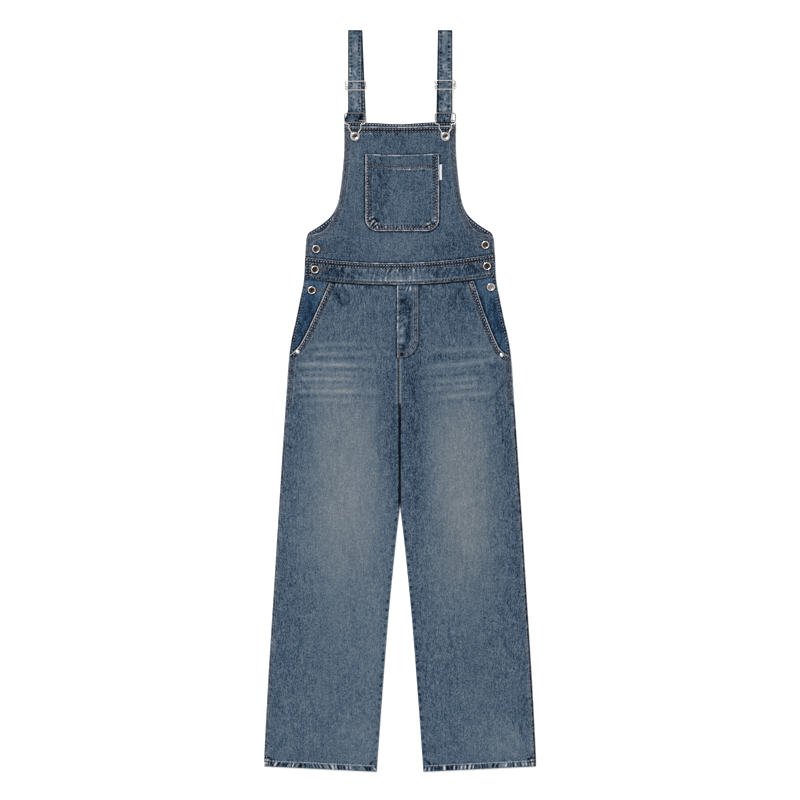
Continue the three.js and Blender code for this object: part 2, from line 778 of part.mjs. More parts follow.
function turned(face, stem) {
  const foot = stem > 0 ? [[STEM_RADIUS, 0], [STEM_RADIUS, -stem], [0, -stem]] : [[0, 0]];
  const profile = [...face, ...foot].reverse().map(([r, h]) => new THREE.Vector2(r, h));
  const geometry = new THREE.LatheGeometry(profile, BUTTON_SEGMENTS);
  geometry.rotateX(Math.PI / 2);
  geometry.deleteAttribute('normal');
  geometry.deleteAttribute('uv');
  const whole = mergeVertices(geometry, 1e-4);
  const points = [];
  const position = whole.attributes.position;
  for (let k = 0; k < position.count; k += 1) points.push(new THREE.Vector3().fromBufferAttribute(position, k));
  const corners = whole.index.array;
  const faces = [];
  for (let k = 0; k < corners.length; k += 3) {
    const [a, b, c] = corners.slice(k, k + 3);
    if (a !== b && b !== c && a !== c) faces.push([a, b, c]);
  }
  return solid(points, faces);
}

function strapAndHardware(strap) {
  piece(`strap_${strap.side}`, ribbon(strapLine(strap)), denim);
  const slider = piece(`slider_${strap.side}`, sliderWire(), nickel);
  slider.position.set(strap.x + SLIDER_SHIFT, strap.slider, 0);
  slider.rotation.z = strap.tilt;
  const buckle = piece(`buckle_${strap.side}`, buckleWire(), nickel);
  buckle.position.set(strap.buckle, BUTTON_UP, 0);
  buckle.rotation.z = strap.tilt / 2;
  const wireTop = BUCKLE_RING_END.z + BUCKLE_BAR.radius;
  const stem = wireTop - seat(topOf.bib, strap.buckle, BUTTON_UP, STEM_RADIUS);
  const button = piece(`bib_button_${strap.side}`, turned(BUTTON_FACE, stem), copper);
  button.position.set(strap.buckle, BUTTON_UP, wireTop + GAP);
}

function sideButtonsAndRivets() {
  for (const [name, places] of Object.entries(SIDE_BUTTONS)) {
    places.forEach(({ x, up, on }, k) => {
      const button = piece(`side_button_${name}_${k + 1}`, turned(BUTTON_FACE, 0), copper);
      button.position.set(x, up, seat(topOf[on], x, up, BUTTON_FACE[4][0]) + GAP);
    });
  }
  for (const { side: name, x, up } of RIVETS) {
    const rivet = piece(`rivet_${name}`, turned(RIVET_FACE, 0), copper);
    rivet.position.set(x, up, seat(topOf[name], x, up, RIVET_FACE[3][0]) + GAP);
  }
}

backPieces();
piece('front_bib', frontBib(), denim);
piece('front_waistband', frontWaistband(), denim);
for (const [name, sign] of SEAMS) {
  piece(`front_leg_${name}`, frontLeg(name, sign), denim);
  piece(`pocket_facing_${name}`, pocketFacing(name, sign), deepDenim);
}
piece('bib_pocket', bibPocket(), denim);
piece('pocket_tab', pocketTab(), whiteTape);
piece('fly', fly(), denim);
STRAPS.forEach(strapAndHardware);
sideButtonsAndRivets();

export default dungarees;
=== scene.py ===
"""Denim dungarees laid flat, front up, dressed in washed cloth, stitching, wire hardware and buttons.

Lengths in the tables and formulas are millimetres, x to the right and up towards the straps, and
mesh_object() turns them into metres. "out" is the distance of an edge from the middle line.
"""
import math
from dataclasses import dataclass

import bpy
import numpy as np
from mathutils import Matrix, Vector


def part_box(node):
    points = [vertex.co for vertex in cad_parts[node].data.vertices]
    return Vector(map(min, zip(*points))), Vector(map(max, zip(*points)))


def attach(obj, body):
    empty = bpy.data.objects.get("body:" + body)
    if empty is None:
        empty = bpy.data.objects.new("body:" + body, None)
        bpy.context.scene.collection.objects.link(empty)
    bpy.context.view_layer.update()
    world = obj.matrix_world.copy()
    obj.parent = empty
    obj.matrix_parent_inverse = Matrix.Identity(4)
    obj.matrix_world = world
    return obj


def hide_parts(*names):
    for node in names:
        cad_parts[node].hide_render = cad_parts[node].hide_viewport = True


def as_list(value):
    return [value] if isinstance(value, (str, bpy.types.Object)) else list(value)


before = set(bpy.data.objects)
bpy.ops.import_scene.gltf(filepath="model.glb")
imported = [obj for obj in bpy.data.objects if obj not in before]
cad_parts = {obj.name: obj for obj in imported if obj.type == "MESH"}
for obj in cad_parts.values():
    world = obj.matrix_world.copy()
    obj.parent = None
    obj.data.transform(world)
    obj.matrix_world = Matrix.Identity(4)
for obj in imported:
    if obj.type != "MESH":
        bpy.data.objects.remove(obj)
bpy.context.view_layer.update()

bl_info = {
    "name": "Denim dungarees",
    "version": (1, 0, 0),
    "blender": (4, 5, 0),
    "location": "View3D > Sidebar > Dungarees",
    "description": "Builds laid-out denim dungarees from outlines, seams and wear",
    "category": "Add Mesh",
}

MM = 0.001
STAGE_LIGHT = 1.22
ROOT = "root"

# Cloth, seams and stitches
WALL = 1.4
GAP = 0.3
THINNEST = 0.5
LOFT = 1.5
LOFT_REACH = 20.0
HEM_RISE = 1.0
SEAM_HALF = 0.2
CROTCH_UP = -8.0
SLIT_END = -222.0
HIP_END = -8.0
BARTACK_STEP = 1.1
STITCH_RISE = 0.12
BARTACK_RISE = 0.4
ROW_TRIM = 3.0
SEAM_ENDS = 4.0
SEAM_GROOVE = 0.35
MEASURED_AT_ONCE = 8192
EDGE_ROUND = 1.6
EDGE_SHARE = 0.3
UNDERSIDE_STEP = 4
GRID_ROUNDS = 8

# Outlines, rows of (up, out)
SIDE = [
    (338, 197.4), (302, 199.5), (254, 202), (212, 210), (170, 218.5), (128, 228), (86, 233.6), (2, 239.5),
    (-124, 248), (-250, 256), (-418, 266.5), (-586, 277), (-740, 285), (-780, 285.6),
]
INSEAM = [
    (CROTCH_UP, 0.06), (-214, 0.06), (-250, 3.4), (-292, 8.4), (-376, 17), (-460, 25), (-628, 38),
    (-780, 49),
]
BACK_ARMHOLE = [
    (586, 117.4), (522, 117.6), (472, 121.8), (439, 126), (418, 130), (402, 136), (388, 145), (372, 163),
    (360, 181), (354, 191), (347, 195), (338, 197.4),
]
FRONT_ARMHOLE = [
    (586, 117.2), (522, 117.4), (472, 121.6), (439, 125.8), (415, 130), (395, 137), (381, 143),
    (368, 150.5), (360, 157.5), (354, 166.5), (349.5, 181), (345, 194.5), (338, 197.2),
]
MOUTH = {
    "left": [(262, 141.5), (149, 193), (116, 211), (104, 222), (96, 232.4)],
    "right": [(262, 151.2), (181, 178.5), (113, 206.5), (101, 218), (91, 233)],
}
FACING_UNDERLAP = 12.0
FACING_END = 85.0

# Edges that cross the garment: middle height, slope, bow, dip in the middle and the dip's half width
BACK_TOP = (585.2, 0.006, 0.0, 3.8, 48.0)
FRONT_TOP = (577.0, 0.006, 0.0, 1.7, 60.0)
WAIST_TOP = (289.6, 0.0159, 0.0004, 0.0, 1.0)
WAIST_BOTTOM = (244.5, 0.0108, 0.000383, 0.0, 1.0)
BACK_WAIST = (300.0, 256.0)
HEM_INNER = (49.0, -779.0)
HEM_OUTER = (285.6, -767.6)
HEM_SPAN = (49.0, 285.0)
HEM_DEPTH = 12.5
BIB_HEM_DEPTH = 11.0
WAISTBAND_WALL = 3.0
# Where the edges end: x at the bib's corners, at the waistband's upper and lower corners and at
# the inner end of the pocket mouths
BIB_HALF = 117.0
BAND_TOP = (198.0, -199.0)
BAND_BOTTOM = (201.0, -201.0)
MOUTH_START = 150.0

# Largest soft folds: x, up, length, width, height and turn from the X axis
FOLDS = [
    (-137, 76, 130, 9, 0.8, -0.02), (-122, 99, 120, 8, 0.5, 0.03), (-115, 22, 170, 10, 0.6, -0.05),
    (-160, 55, 90, 8, 0.5, 0.04), (122, 77, 130, 9, 0.7, 0.09), (105, 63, 120, 8, 0.5, 0.11),
    (130, 13, 140, 10, 0.6, 0.1), (-70, -60, 220, 22, 0.8, 1.2), (75, -70, 240, 24, 0.7, -1.25),
    (-150, -470, 420, 30, 0.9, 1.52), (160, -500, 400, 28, 0.8, -1.5), (-150, -330, 150, 16, -0.6, 0.2),
    (150, -340, 150, 16, -0.6, -0.25), (-90, 430, 150, 18, 0.6, 1.75), (100, 330, 130, 14, -0.5, 0.2),
]

# Whiskers, pale lines across the hips: start x and up, end x and up, half width, tone
WHISKERS = [
    (-188, 118, -52, 121, 3.6, 0.15), (-178, 99, -34, 101, 3.4, 0.17), (-212, 77, -44, 75, 4.2, 0.25),
    (-200, 62, -60, 59, 3.4, 0.17), (-216, 47, -76, 48, 3.6, 0.2), (-214, 34, -100, 35, 3.0, 0.12),
    (-212, 21, -40, 20, 4.4, 0.2), (-192, 4, -70, 2, 4.6, 0.1), (-206, 69, -120, 67, 2.0, 0.07),
    (66, 104, 192, 112, 3.6, 0.17), (110, 96, 198, 101, 2.8, 0.13), (48, 69, 196, 87, 4.4, 0.25),
    (38, 55, 178, 71, 3.4, 0.17), (40, 38, 170, 50, 3.6, 0.15), (44, 24, 176, 35, 3.8, 0.18),
    (70, 6, 192, 19, 4.6, 0.16), (96, 84, 196, 94, 2.2, 0.08),
]
# Soft fades of the front: x, up, half width, half height, tone. The dark one at x -12 down the middle
# is painted shade beside the gap between the legs.
FADES = [
    (-114, -150, 86, 240, 0.245), (127, -180, 68, 240, 0.245), (-136, 60, 60, 60, 0.04),
    (126, 60, 60, 60, 0.02), (150, -265, 40, 70, 0.02), (-106, -330, 46, 170, 0.02),
    (-120, -560, 90, 210, 0.06), (160, -560, 70, 200, 0.04), (0, 60, 42, 150, -0.05),
    (30, -60, 24, 190, -0.1), (36, -420, 20, 260, -0.04), (-130, 214, 40, 26, -0.09),
    (126, 212, 56, 34, -0.12), (104, 88, 40, 10, -0.12), (-66, -716, 60, 50, 0.07),
    (236, -716, 80, 46, 0.08), (-252, -716, 26, 46, 0.06), (-46, -500, 26, 110, 0.06),
    (-30, -50, 22, 110, -0.08), (-12, -130, 9, 100, -0.1), (-208, -60, 26, 64, -0.05),
    (212, -80, 24, 76, -0.07), (112, -540, 28, 70, -0.05), (98, -292, 30, 52, -0.07),
    (130, 56, 80, 60, -0.03), (-214, -470, 60, 130, -0.02), (190, -470, 70, 130, -0.03),
    (-190, -285, 50, 60, 0.04), (-84, 84, 34, 64, -0.05), (-84, 16, 24, 24, -0.05),
    (128, 150, 26, 30, -0.06), (-279.5, -762, 8.5, 5, 0.42), (279.5, -762, 8.5, 5, 0.34),
    (-54, -774, 6, 5, 0.28), (54, -774, 6, 5, 0.28),
]
BIB_FADES = [
    (118, 322, 48, 30, -0.12), (-116, 312, 44, 26, -0.08), (-10, 334, 60, 26, 0.07),
    (-96, 470, 12, 60, 0.07), (-10, 556, 60, 14, -0.02),
]
POCKET_FADES = [(-44, 438, 20, 74, -0.1), (0, 404, 24, 34, 0.07), (-1, 511, 2.4, 2.0, -0.5)]
# Where the cloth has yellowed: x, up, half width, half height, share
WARMTH = [
    (136, -210, 62, 210, 0.5), (-112, -150, 60, 200, 0.28), (165, -560, 60, 60, 0.1),
    (-280, -762, 10, 7, 1.0), (280, -762, 10, 7, 0.8),
]

# Creases, short pale or dark streaks painted as the light and shade of creases that the surface lacks:
# start x and up, end x and up, half width, tone
LEG_CREASES = [
    (-144, 238, -116, 200, 4, -0.26), (-151, 228, -133, 190, 3.5, 0.14), (-120, 240, -104, 218, 3, -0.12),
    (-108, 240, -98, 222, 3, 0.1), (140, 238, 152, 208, 3.5, 0.14), (128, 238, 112, 208, 4, -0.16),
    (60, 238, 84, 226, 3, 0.1), (96, 240, 108, 222, 3, 0.1), (-60, 236, -40, 226, 3, 0.1),
    (-225, 62, -190, 20, 4, -0.14), (228, 52, 200, 8, 4, -0.14), (-214, 60, -196, 34, 3, 0.12),
    (-20, 60, -34, 10, 5, -0.08), (22, 50, 34, -4, 5, -0.08), (250, -745, 205, -720, 4, 0.08),
    (255, -728, 228, -690, 4, 0.08), (262, -722, 250, -676, 4, -0.1), (-262, -740, -240, -700, 4, -0.08),
]
BIB_CREASES = [
    (2, 566, 4, 524, 9, -0.08), (-92, 540, -84, 500, 6, 0.07), (98, 540, 90, 470, 7, -0.07),
    (-160, 330, -90, 348, 10, -0.04), (150, 330, 90, 346, 10, 0.04),
]
# Marks at the corners, short strokes: start x and up, end x and up, half width, tone
POCKET_MARKS = [
    (-30, 489.6, -14, 487.4, 1.2, 0.3), (-14, 487.4, 20, 486.6, 1.3, 0.42),
    (20, 486.6, 48, 488.4, 1.3, 0.36), (48, 488.4, 62, 484.0, 1.2, 0.28),
    (-26, 484.6, 20, 482.4, 1.8, -0.2), (20, 482.4, 56, 484.0, 1.8, -0.2), (-62, 512, -60, 488, 1.4, -0.3),
    (-54, 512, -50, 500, 1.2, 0.2), (70, 512, 70, 488, 1.8, -0.34), (-63.6, 384, -63.2, 381.6, 1.7, 0.64),
    (-57.4, 387, -56.8, 385, 1.6, 0.56), (-59.6, 373, -58.6, 372, 1.8, 0.7),
    (-47.8, 364.6, -47.2, 362.6, 1.6, 0.64), (-66.4, 386.6, -65.2, 377.6, 0.9, -0.84),
    (-65.2, 377.8, -60.6, 380.6, 1.3, -0.84), (-60.6, 380.6, -53.4, 383.6, 1.3, -0.84),
    (-53.4, 383.6, -44.4, 376.4, 1.4, -0.84), (-55.9, 371.2, -48.6, 376.4, 1.4, -0.84),
    (-58.6, 374.8, -54.8, 379.2, 1.3, 0.56), (-50.8, 370.6, -46.6, 377.4, 1.2, 0.62),
    (-55.6, 366.8, -50.4, 373.2, 1.2, 0.42), (-54.6, 364.6, -47.0, 370.9, 1.5, -0.84),
    (-46.0, 367.6, -43.2, 372.9, 1.2, 0.56), (-62.2, 372.8, -50.6, 362.2, 1.2, -0.7),
    (-45.4, 362.4, -43.4, 368.6, 1.1, -0.56), (-39.6, 368.6, -38.6, 371.0, 1.3, 0.34),
    (-30.5, 364.6, -30.0, 370.0, 1.3, 0.56), (-23.6, 366.2, -23.0, 369.6, 1.3, 0.48),
    (-17.4, 365.6, -17.0, 370.4, 1.3, 0.48), (-9.6, 365.6, -9.0, 370.0, 1.3, 0.48),
    (74.6, 386.4, 74.4, 383.9, 1.6, 0.5), (74.2, 379.6, 73.2, 377.2, 1.7, 0.7),
    (68.9, 381.6, 67.9, 377.8, 1.7, 0.5), (67.2, 369.2, 65.6, 367.2, 1.6, 0.67),
    (63.6, 374.6, 62.6, 371.9, 1.6, 0.56), (59.2, 372.6, 57.0, 370.6, 1.6, 0.56),
    (61.4, 364.9, 60.2, 363.7, 1.5, 0.56), (53.4, 363.1, 52.4, 361.5, 1.5, 0.62),
    (47.2, 362.9, 46.4, 361.1, 1.5, 0.7), (50.0, 368.9, 48.4, 367.5, 1.6, 0.42),
    (76.6, 382.8, 74.6, 381.2, 1.4, -0.84), (73.9, 374.6, 71.4, 370.8, 1.5, -0.84),
    (71.0, 369.0, 69.2, 367.0, 1.4, -0.84), (66.2, 364.9, 63.9, 363.1, 1.4, -0.84),
    (63.6, 369.6, 61.0, 367.6, 1.4, -0.7), (58.2, 376.9, 55.2, 375.2, 1.5, -0.5),
    (67.4, 378.0, 65.2, 375.2, 1.4, -0.56), (56.8, 366.8, 54.8, 364.8, 1.4, -0.7),
    (50.4, 364.6, 49.6, 360.6, 1.2, -0.7), (44.0, 364.6, 43.4, 360.6, 1.2, -0.7),
    (65.4, 382.6, 63.2, 380.0, 1.4, -0.42),
]
HEM_MARKS = [
    (284.4, -749.8, 276.4, -749.0, 1.4, -0.85), (276.4, -749.0, 270.2, -752.6, 1.4, -0.85),
    (270.2, -752.6, 268.2, -771.0, 1.5, -0.85), (283.2, -757.8, 272.2, -757.2, 1.3, -0.85),
    (281.0, -753.6, 273.6, -753.6, 1.5, 0.51), (56.6, -757.6, 61.4, -760.4, 1.3, -0.68),
    (61.4, -760.4, 63.0, -776.0, 1.3, -0.68),
]
BIB_BUTTONS = ["bib_button_left", "bib_button_right", "side_button_left_1", "side_button_right_1"]

# Bib pocket, tab and fly
POCKET = {"left": -72.5, "right": 81.9, "top": 516.4, "bow": 0.0005, "bottom": 356.8, "radius": 26.0}
POCKET_HEM_DEPTH = 27.0
POCKET_LOFT = 0.7
TAB = {"left": 82.3, "right": 88.0, "top": 496.4, "bottom": 464.0, "middle": 480.0}
FLY = {"left": -6.0, "right": 39.0, "bottom": 90.0, "radius": 38.0, "wall": 1.0}
# Light and dark patches of the fly: x, up, half width, half height, tone
FLY_PATCHES = [
    (10, 203, 12, 16, -0.32), (16, 140, 5, 20, -0.36), (8, 107, 6, 8, -0.28), (2, 176, 8, 5, 0.2),
    (4, 150, 7, 14, 0.2), (12, 236, 16, 7, 0.12), (4, 126, 6, 6, 0.18), (36, 148, 4, 3, -0.4),
    (-1, 186, 3, 5, -0.3), (2, 137, 3, 4, -0.24), (20, 176, 6, 12, -0.16), (4, 98, 8, 4, -0.4),
]

# Straps and wires
STRAP_HALF = 15.0
STRAP_WALL = 1.8
STRAP_ROW = 4.6
STRAP_STEPS = 40
STRAP_LEVELS = (0.9, 3.0, 5.1)
STRAP_TOP_UP = 777.05
BUCKLE_BAR = {"up": 588.6, "high": 5.4, "radius": 1.2}
SLIDER_BAR = {"high": 5.25, "radius": 1.05, "half": 23.4}
STRAPS = {
    "left": {"x": -94.1, "skew": 8.0, "slider": 662.3, "buckle": -94.6, "tilt": 0.01, "bunch": 7.0},
    "right": {"x": 94.5, "skew": -3.6, "slider": 663.8, "buckle": 95.0, "tilt": -0.008, "bunch": 3.0},
}
SLIDER_SHIFT = 0.4
SLIDER_QUARTER = [
    (10, 9.1, 7.75), (17, 9.1, 7.7), (20.6, 7.6, 7.2), (21.5, 4.6, 6.3), (19.8, 1.4, 5.3),
]
BUCKLE_HALF = [
    (9, 48.2, 7.6), (17, 48.2, 7.5), (20.6, 46.4, 7.2), (21.4, 42, 6.7), (21.2, 32.3, 5.4), (21, 27.6, 5.6),
    (19.2, 25.4, 5.8), (14.6, 25, 6), (12.6, 23, 6), (12.7, 16.5, 6), (10.2, 12, 6), (7.4, 7.6, 6),
    (8.6, 1, 6), (6.8, -6, 6), (0, -9, 6),
]
BUTTON_UP = 556.3

# Noise: how many random numbers a table holds, and what its squares are numbered by
RANDOM_COUNT = 4096
SQUARE_STEPS = (7919, 104729)

# Half profiles from the axis, radius and height above the foot
BUTTON_PROFILE = [
    (0, 1.1), (1.4, 0.9), (3.6, 0.8), (5.3, 1.0), (5.8, 1.7), (6.1, 2.7), (6.6, 3.15), (7.2, 3.2),
    (7.9, 2.7), (8.4, 1.8), (8.45, 1.0), (8.1, 0.25), (7.2, 0.0),
]
RIVET_PROFILE = [(0, 1.7), (1.2, 1.66), (2.4, 1.35), (3.3, 0.85), (4.0, 0.4), (4.15, 0.1), (3.9, 0.0)]
COPPER_RADIUS = 6.2
# The ring of painted shadow on the cloth round a button: radius, half width, tone
BUTTON_SHADOW_RING = (9.3, 1.6, 0.38)
# How strongly the copper of each side button shows, from the top one down
BUTTON_WEAR = {"left": (1.0, 1.1, 1.15), "right": (1.0, 1.1, 0.72)}

# The floor's own light, which thins the shadows on it, and half the floor's side
FLOOR_GLOW = 0.3
FLOOR_HALF = 20000.0
# The key light's spread and turns in degrees, and the camera's place in metres
KEY_SPREAD = 25.0
KEY_TURNS = (-38.0, -34.0, 0.0)
CAMERA_PLACE = (0.0, 0.0019, 20.0)
# Brightness of the sky by the upward part of its direction, halved and raised by a half: white where
# only what lies past the floor's rim can show, dim at the horizon and pale overhead
SKY_BANDS = [(0.48, 1.0), (0.5, 0.3), (0.875, 0.85)]

# Denim from its darkest to its palest, stops of (tone, red, green, blue) as screen values of 0 to 255
DENIM_TONES = [
    (0.0, 6, 9, 18), (0.18, 19, 36, 61), (0.34, 43, 68, 95), (0.5, 70, 94, 116), (0.65, 96, 114, 130),
    (0.8, 119, 132, 143), (0.91, 146, 155, 166), (1.0, 212, 214, 224),
]
FACING_TONES = [
    (0.0, 5, 10, 20), (0.25, 14, 39, 68), (0.5, 36, 70, 101), (0.75, 70, 100, 123), (1.0, 158, 170, 182),
]
# What the cloth's colour is multiplied by where it has yellowed
WARM_TINT = (1.10, 1.0, 0.90)


# Arithmetic


def ease(start, stop, value):
    """A smooth step from 0 at start to 1 at stop: t squared times 3 minus 2 t."""
    t = np.clip((value - start) / (stop - start), 0.0, 1.0)
    return t * t * (3.0 - 2.0 * t)


def mix(a, b, t):
    """The point a share t of the way from a to b."""
    return a + (b - a) * t


def bell(value, width):
    """A bell of height 1: e to the minus square of value over width."""
    return np.exp(-((value / width) ** 2))


def wave(turns):
    """A cosine of whole turns."""
    return np.cos(2 * np.pi * turns)


def circle(count):
    """Even angles round a full turn."""
    return np.linspace(0.0, 2 * np.pi, count, endpoint=False)


def unit(rows):
    """Rows of numbers brought to length 1."""
    return rows / np.linalg.norm(rows, axis=1, keepdims=True)


def running(line):
    """Length run along a line up to each of its points."""
    return np.concatenate([[0.0], np.cumsum(np.linalg.norm(np.diff(line, axis=0), axis=1))])


def even(value):
    """The same value at every place."""
    return lambda x, *rest: value + 0.0 * x


def sided(sign, out):
    """An edge at a distance to one side of the middle line, from its distance by height."""
    return lambda up: sign * out(up)


def cubic(t, start, stop, span, slope_start, slope_stop):
    """The cubic between two values with a slope at each, at a share t of its span."""
    ends = (2 * t**3 - 3 * t**2 + 1) * start + (3 * t**2 - 2 * t**3) * stop
    return ends + span * ((t**3 - 2 * t**2 + t) * slope_start + (t**3 - t**2) * slope_stop)


def reader(rows):
    """Reads rows of (up, out) as a smooth curve: a cubic between rows, sloped as their neighbours lie."""
    table = np.array(sorted(rows), dtype=float)
    up, out = table[:, 0], table[:, 1]
    ahead = np.minimum(np.arange(len(up)) + 1, len(up) - 1)
    behind = np.maximum(np.arange(len(up)) - 1, 0)
    slope = (out[ahead] - out[behind]) / (up[ahead] - up[behind])

    def read(value):
        at = np.clip(value, up[0], up[-1])
        k = np.clip(np.searchsorted(up, at, side="left"), 1, len(up) - 1)
        span = up[k] - up[k - 1]
        t = (at - up[k - 1]) / span
        return cubic(t, out[k - 1], out[k], span, slope[k - 1], slope[k])

    return read


def random_table(seed):
    """A fixed table of random numbers from -1 to 1."""
    return np.random.default_rng(seed).uniform(-1.0, 1.0, RANDOM_COUNT)


def wander(t, seed):
    """Smooth noise along a line: random values at whole numbers, eased between them."""
    table = random_table(seed)
    cell = np.floor(t).astype(int)
    here, after = table[cell % RANDOM_COUNT], table[(cell + 1) % RANDOM_COUNT]
    return mix(here, after, ease(0.0, 1.0, t - cell))


def mottle(x, y, seed):
    """Smooth noise on a plane: random values at whole squares, eased between their four corners."""
    table = random_table(seed)
    i, j = np.floor(x).astype(int), np.floor(y).astype(int)
    u, v = ease(0.0, 1.0, x - i), ease(0.0, 1.0, y - j)

    def corner(a, b):
        return table[((i + a) * SQUARE_STEPS[0] + (j + b) * SQUARE_STEPS[1]) % RANDOM_COUNT]

    return mix(mix(corner(0, 0), corner(1, 0), u), mix(corner(0, 1), corner(1, 1), u), v)


side_out = reader(SIDE)
inseam_out = reader(INSEAM)
back_armhole_out = reader(BACK_ARMHOLE)
front_armhole_out = reader(FRONT_ARMHOLE)
mouth_out = {name: reader(rows) for name, rows in MOUTH.items()}
mouth_end = {name: rows[-1][0] for name, rows in MOUTH.items()}
SIDE_TOP = SIDE[0][0]
SIGN = {"left": -1.0, "right": 1.0}


def crossing(edge):
    """An edge across the garment: its height, plus slope times x, plus bow times x squared, less its dip."""
    high, slope, bow, dip, wide = edge
    return lambda x: high + slope * x + bow * x * x - dip * bell(x, wide)


back_top = crossing(BACK_TOP)
front_top = crossing(FRONT_TOP)
waist_top = crossing(WAIST_TOP)
waist_bottom = crossing(WAIST_BOTTOM)


def hem_up(out):
    """The slanted hem: a straight line between its inner and outer corner."""
    return mix(HEM_INNER[1], HEM_OUTER[1], (out - HEM_INNER[0]) / (HEM_OUTER[0] - HEM_INNER[0]))


def hem_line(x):
    """The hem's height on both sides of the middle line."""
    return hem_up(np.abs(x))


def leg_top(x):
    """The upper edge of the front legs and of what lies on and under them, a gap below the waistband."""
    return waist_bottom(x) - GAP


def front_out(up):
    """Half the front's width: the armhole above the side's top and the side seam below it."""
    return np.where(up > SIDE_TOP, front_armhole_out(up), side_out(up))


def back_out(up):
    """Half the back's width, as front_out."""
    return np.where(up > SIDE_TOP, back_armhole_out(up), side_out(up))


def inner_out(up):
    """Inner edge of a leg: the middle seam above the crotch, eased into the inseam below it."""
    above = mix(SEAM_HALF, INSEAM[0][1], ease(CROTCH_UP + 20, CROTCH_UP, up))
    return np.where(up > CROTCH_UP, above, inseam_out(up))


def outer_out(name):
    """Outer edge of a front leg: the pocket mouth above its end and the side seam below it."""
    return lambda up: np.where(up > mouth_end[name], mouth_out[name](up), side_out(up))


# Heights


def folds(x, up):
    """Sum of ridges: a bell across each, and a flat-topped bell along it."""
    height = np.zeros(np.shape(x))
    for fold_x, fold_up, long, wide, high, turn in FOLDS:
        dx, dy = x - fold_x, up - fold_up
        along = (dx * math.cos(turn) + dy * math.sin(turn)) / (long / 2)
        across = (dy * math.cos(turn) - dx * math.sin(turn)) / wide
        height += high * np.exp(-across * across - along**4)
    return height


def under(x, up):
    """Underside of the front cloth: on the back cloth at its edges, lifted by LOFT between them."""
    out = np.abs(x)
    from_side = ease(0.0, LOFT_REACH, front_out(up) - out)
    legs = ease(CROTCH_UP + 60, CROTCH_UP - 20, up)
    from_inseam = mix(1.0, ease(-6.0, LOFT_REACH, out - inner_out(up)), legs)
    from_hem = mix(0.4, 1.0, ease(0.0, 60.0, up - hem_up(out)))
    bib = mix(1.0, 0.35, ease(waist_bottom(x), waist_top(x) + 20, up))
    lofted = LOFT * from_side * from_inseam * from_hem * bib
    return WALL + GAP + lofted + folds(x, up) * from_side * from_inseam


def leg_under(name):
    """The front leg's underside, carried by the pocket facing near the mouth."""

    def height(x, up):
        inside = mouth_out[name](up) - np.abs(x)
        carried = 1 - ease(FACING_UNDERLAP + 2, FACING_UNDERLAP + 24, inside)
        return under(x, up) + (WALL + GAP) * carried * ease(FACING_END - 40, FACING_END - 1, up)

    return height


def corner_inset(shape, up):
    """How far a quarter circle of the shape's radius draws an edge in near the shape's bottom."""
    into = np.clip(shape["bottom"] + shape["radius"] - up, 0.0, shape["radius"])
    return shape["radius"] - np.sqrt(np.maximum(shape["radius"] ** 2 - into**2, 0.0))


# Seams


def resample(points, step=2.0):
    """Even steps along a line of points, by its running length."""
    points = np.asarray(points, dtype=float)
    run = running(points)
    count = max(2, int(round(run[-1] / step)) + 1)
    at = np.linspace(0.0, run[-1], count)
    return np.stack([np.interp(at, run, points[:, k]) for k in range(points.shape[1])], axis=1)


def directions(points):
    """Unit direction of a line at each of its points."""
    return unit(np.gradient(points, axis=0))


def shifted(points, distance):
    """A line moved to its left by a distance, square to its direction."""
    along = directions(points)
    return points + distance * np.stack([-along[:, 1], along[:, 0]], axis=1)


def down_edge(out, high, low, sign):
    """An outer edge with the cloth on its left: down the left side, or up the right side."""
    up = np.linspace(high, low, 600)
    points = np.stack([sign * out(up), up], axis=1)
    return resample(points if sign < 0 else points[::-1])


def inner_edge(high, low, sign):
    """A leg's inner edge with its cloth on the left: up the left leg, or down the right one."""
    return down_edge(lambda up: -inner_out(up), high, low, -sign)


def cross_edge(height, x_from, x_to):
    """An edge across the garment, from one x to another."""
    x = np.linspace(x_from, x_to, 400)
    return resample(np.stack([x, height(x) + 0.0 * x], axis=1))


def measure(line, x, y):
    """Signed distance to the left of a line and the running length along it, at its nearest point."""
    points = np.stack([np.ravel(x), np.ravel(y)], axis=1)
    along = directions(line)
    run = running(line)
    nearest = np.empty(len(points), dtype=int)
    squares = (line**2).sum(axis=1)
    for first in range(0, len(points), MEASURED_AT_ONCE):
        part = points[first : first + MEASURED_AT_ONCE]
        nearest[first : first + MEASURED_AT_ONCE] = np.argmin(squares - 2.0 * part @ line.T, axis=1)
    offset = points - line[nearest]
    direction = along[nearest]
    distance = direction[:, 0] * offset[:, 1] - direction[:, 1] * offset[:, 0]
    length = run[nearest] + (offset * direction).sum(axis=1)
    return distance.reshape(np.shape(x)), length.reshape(np.shape(x)), run[-1]


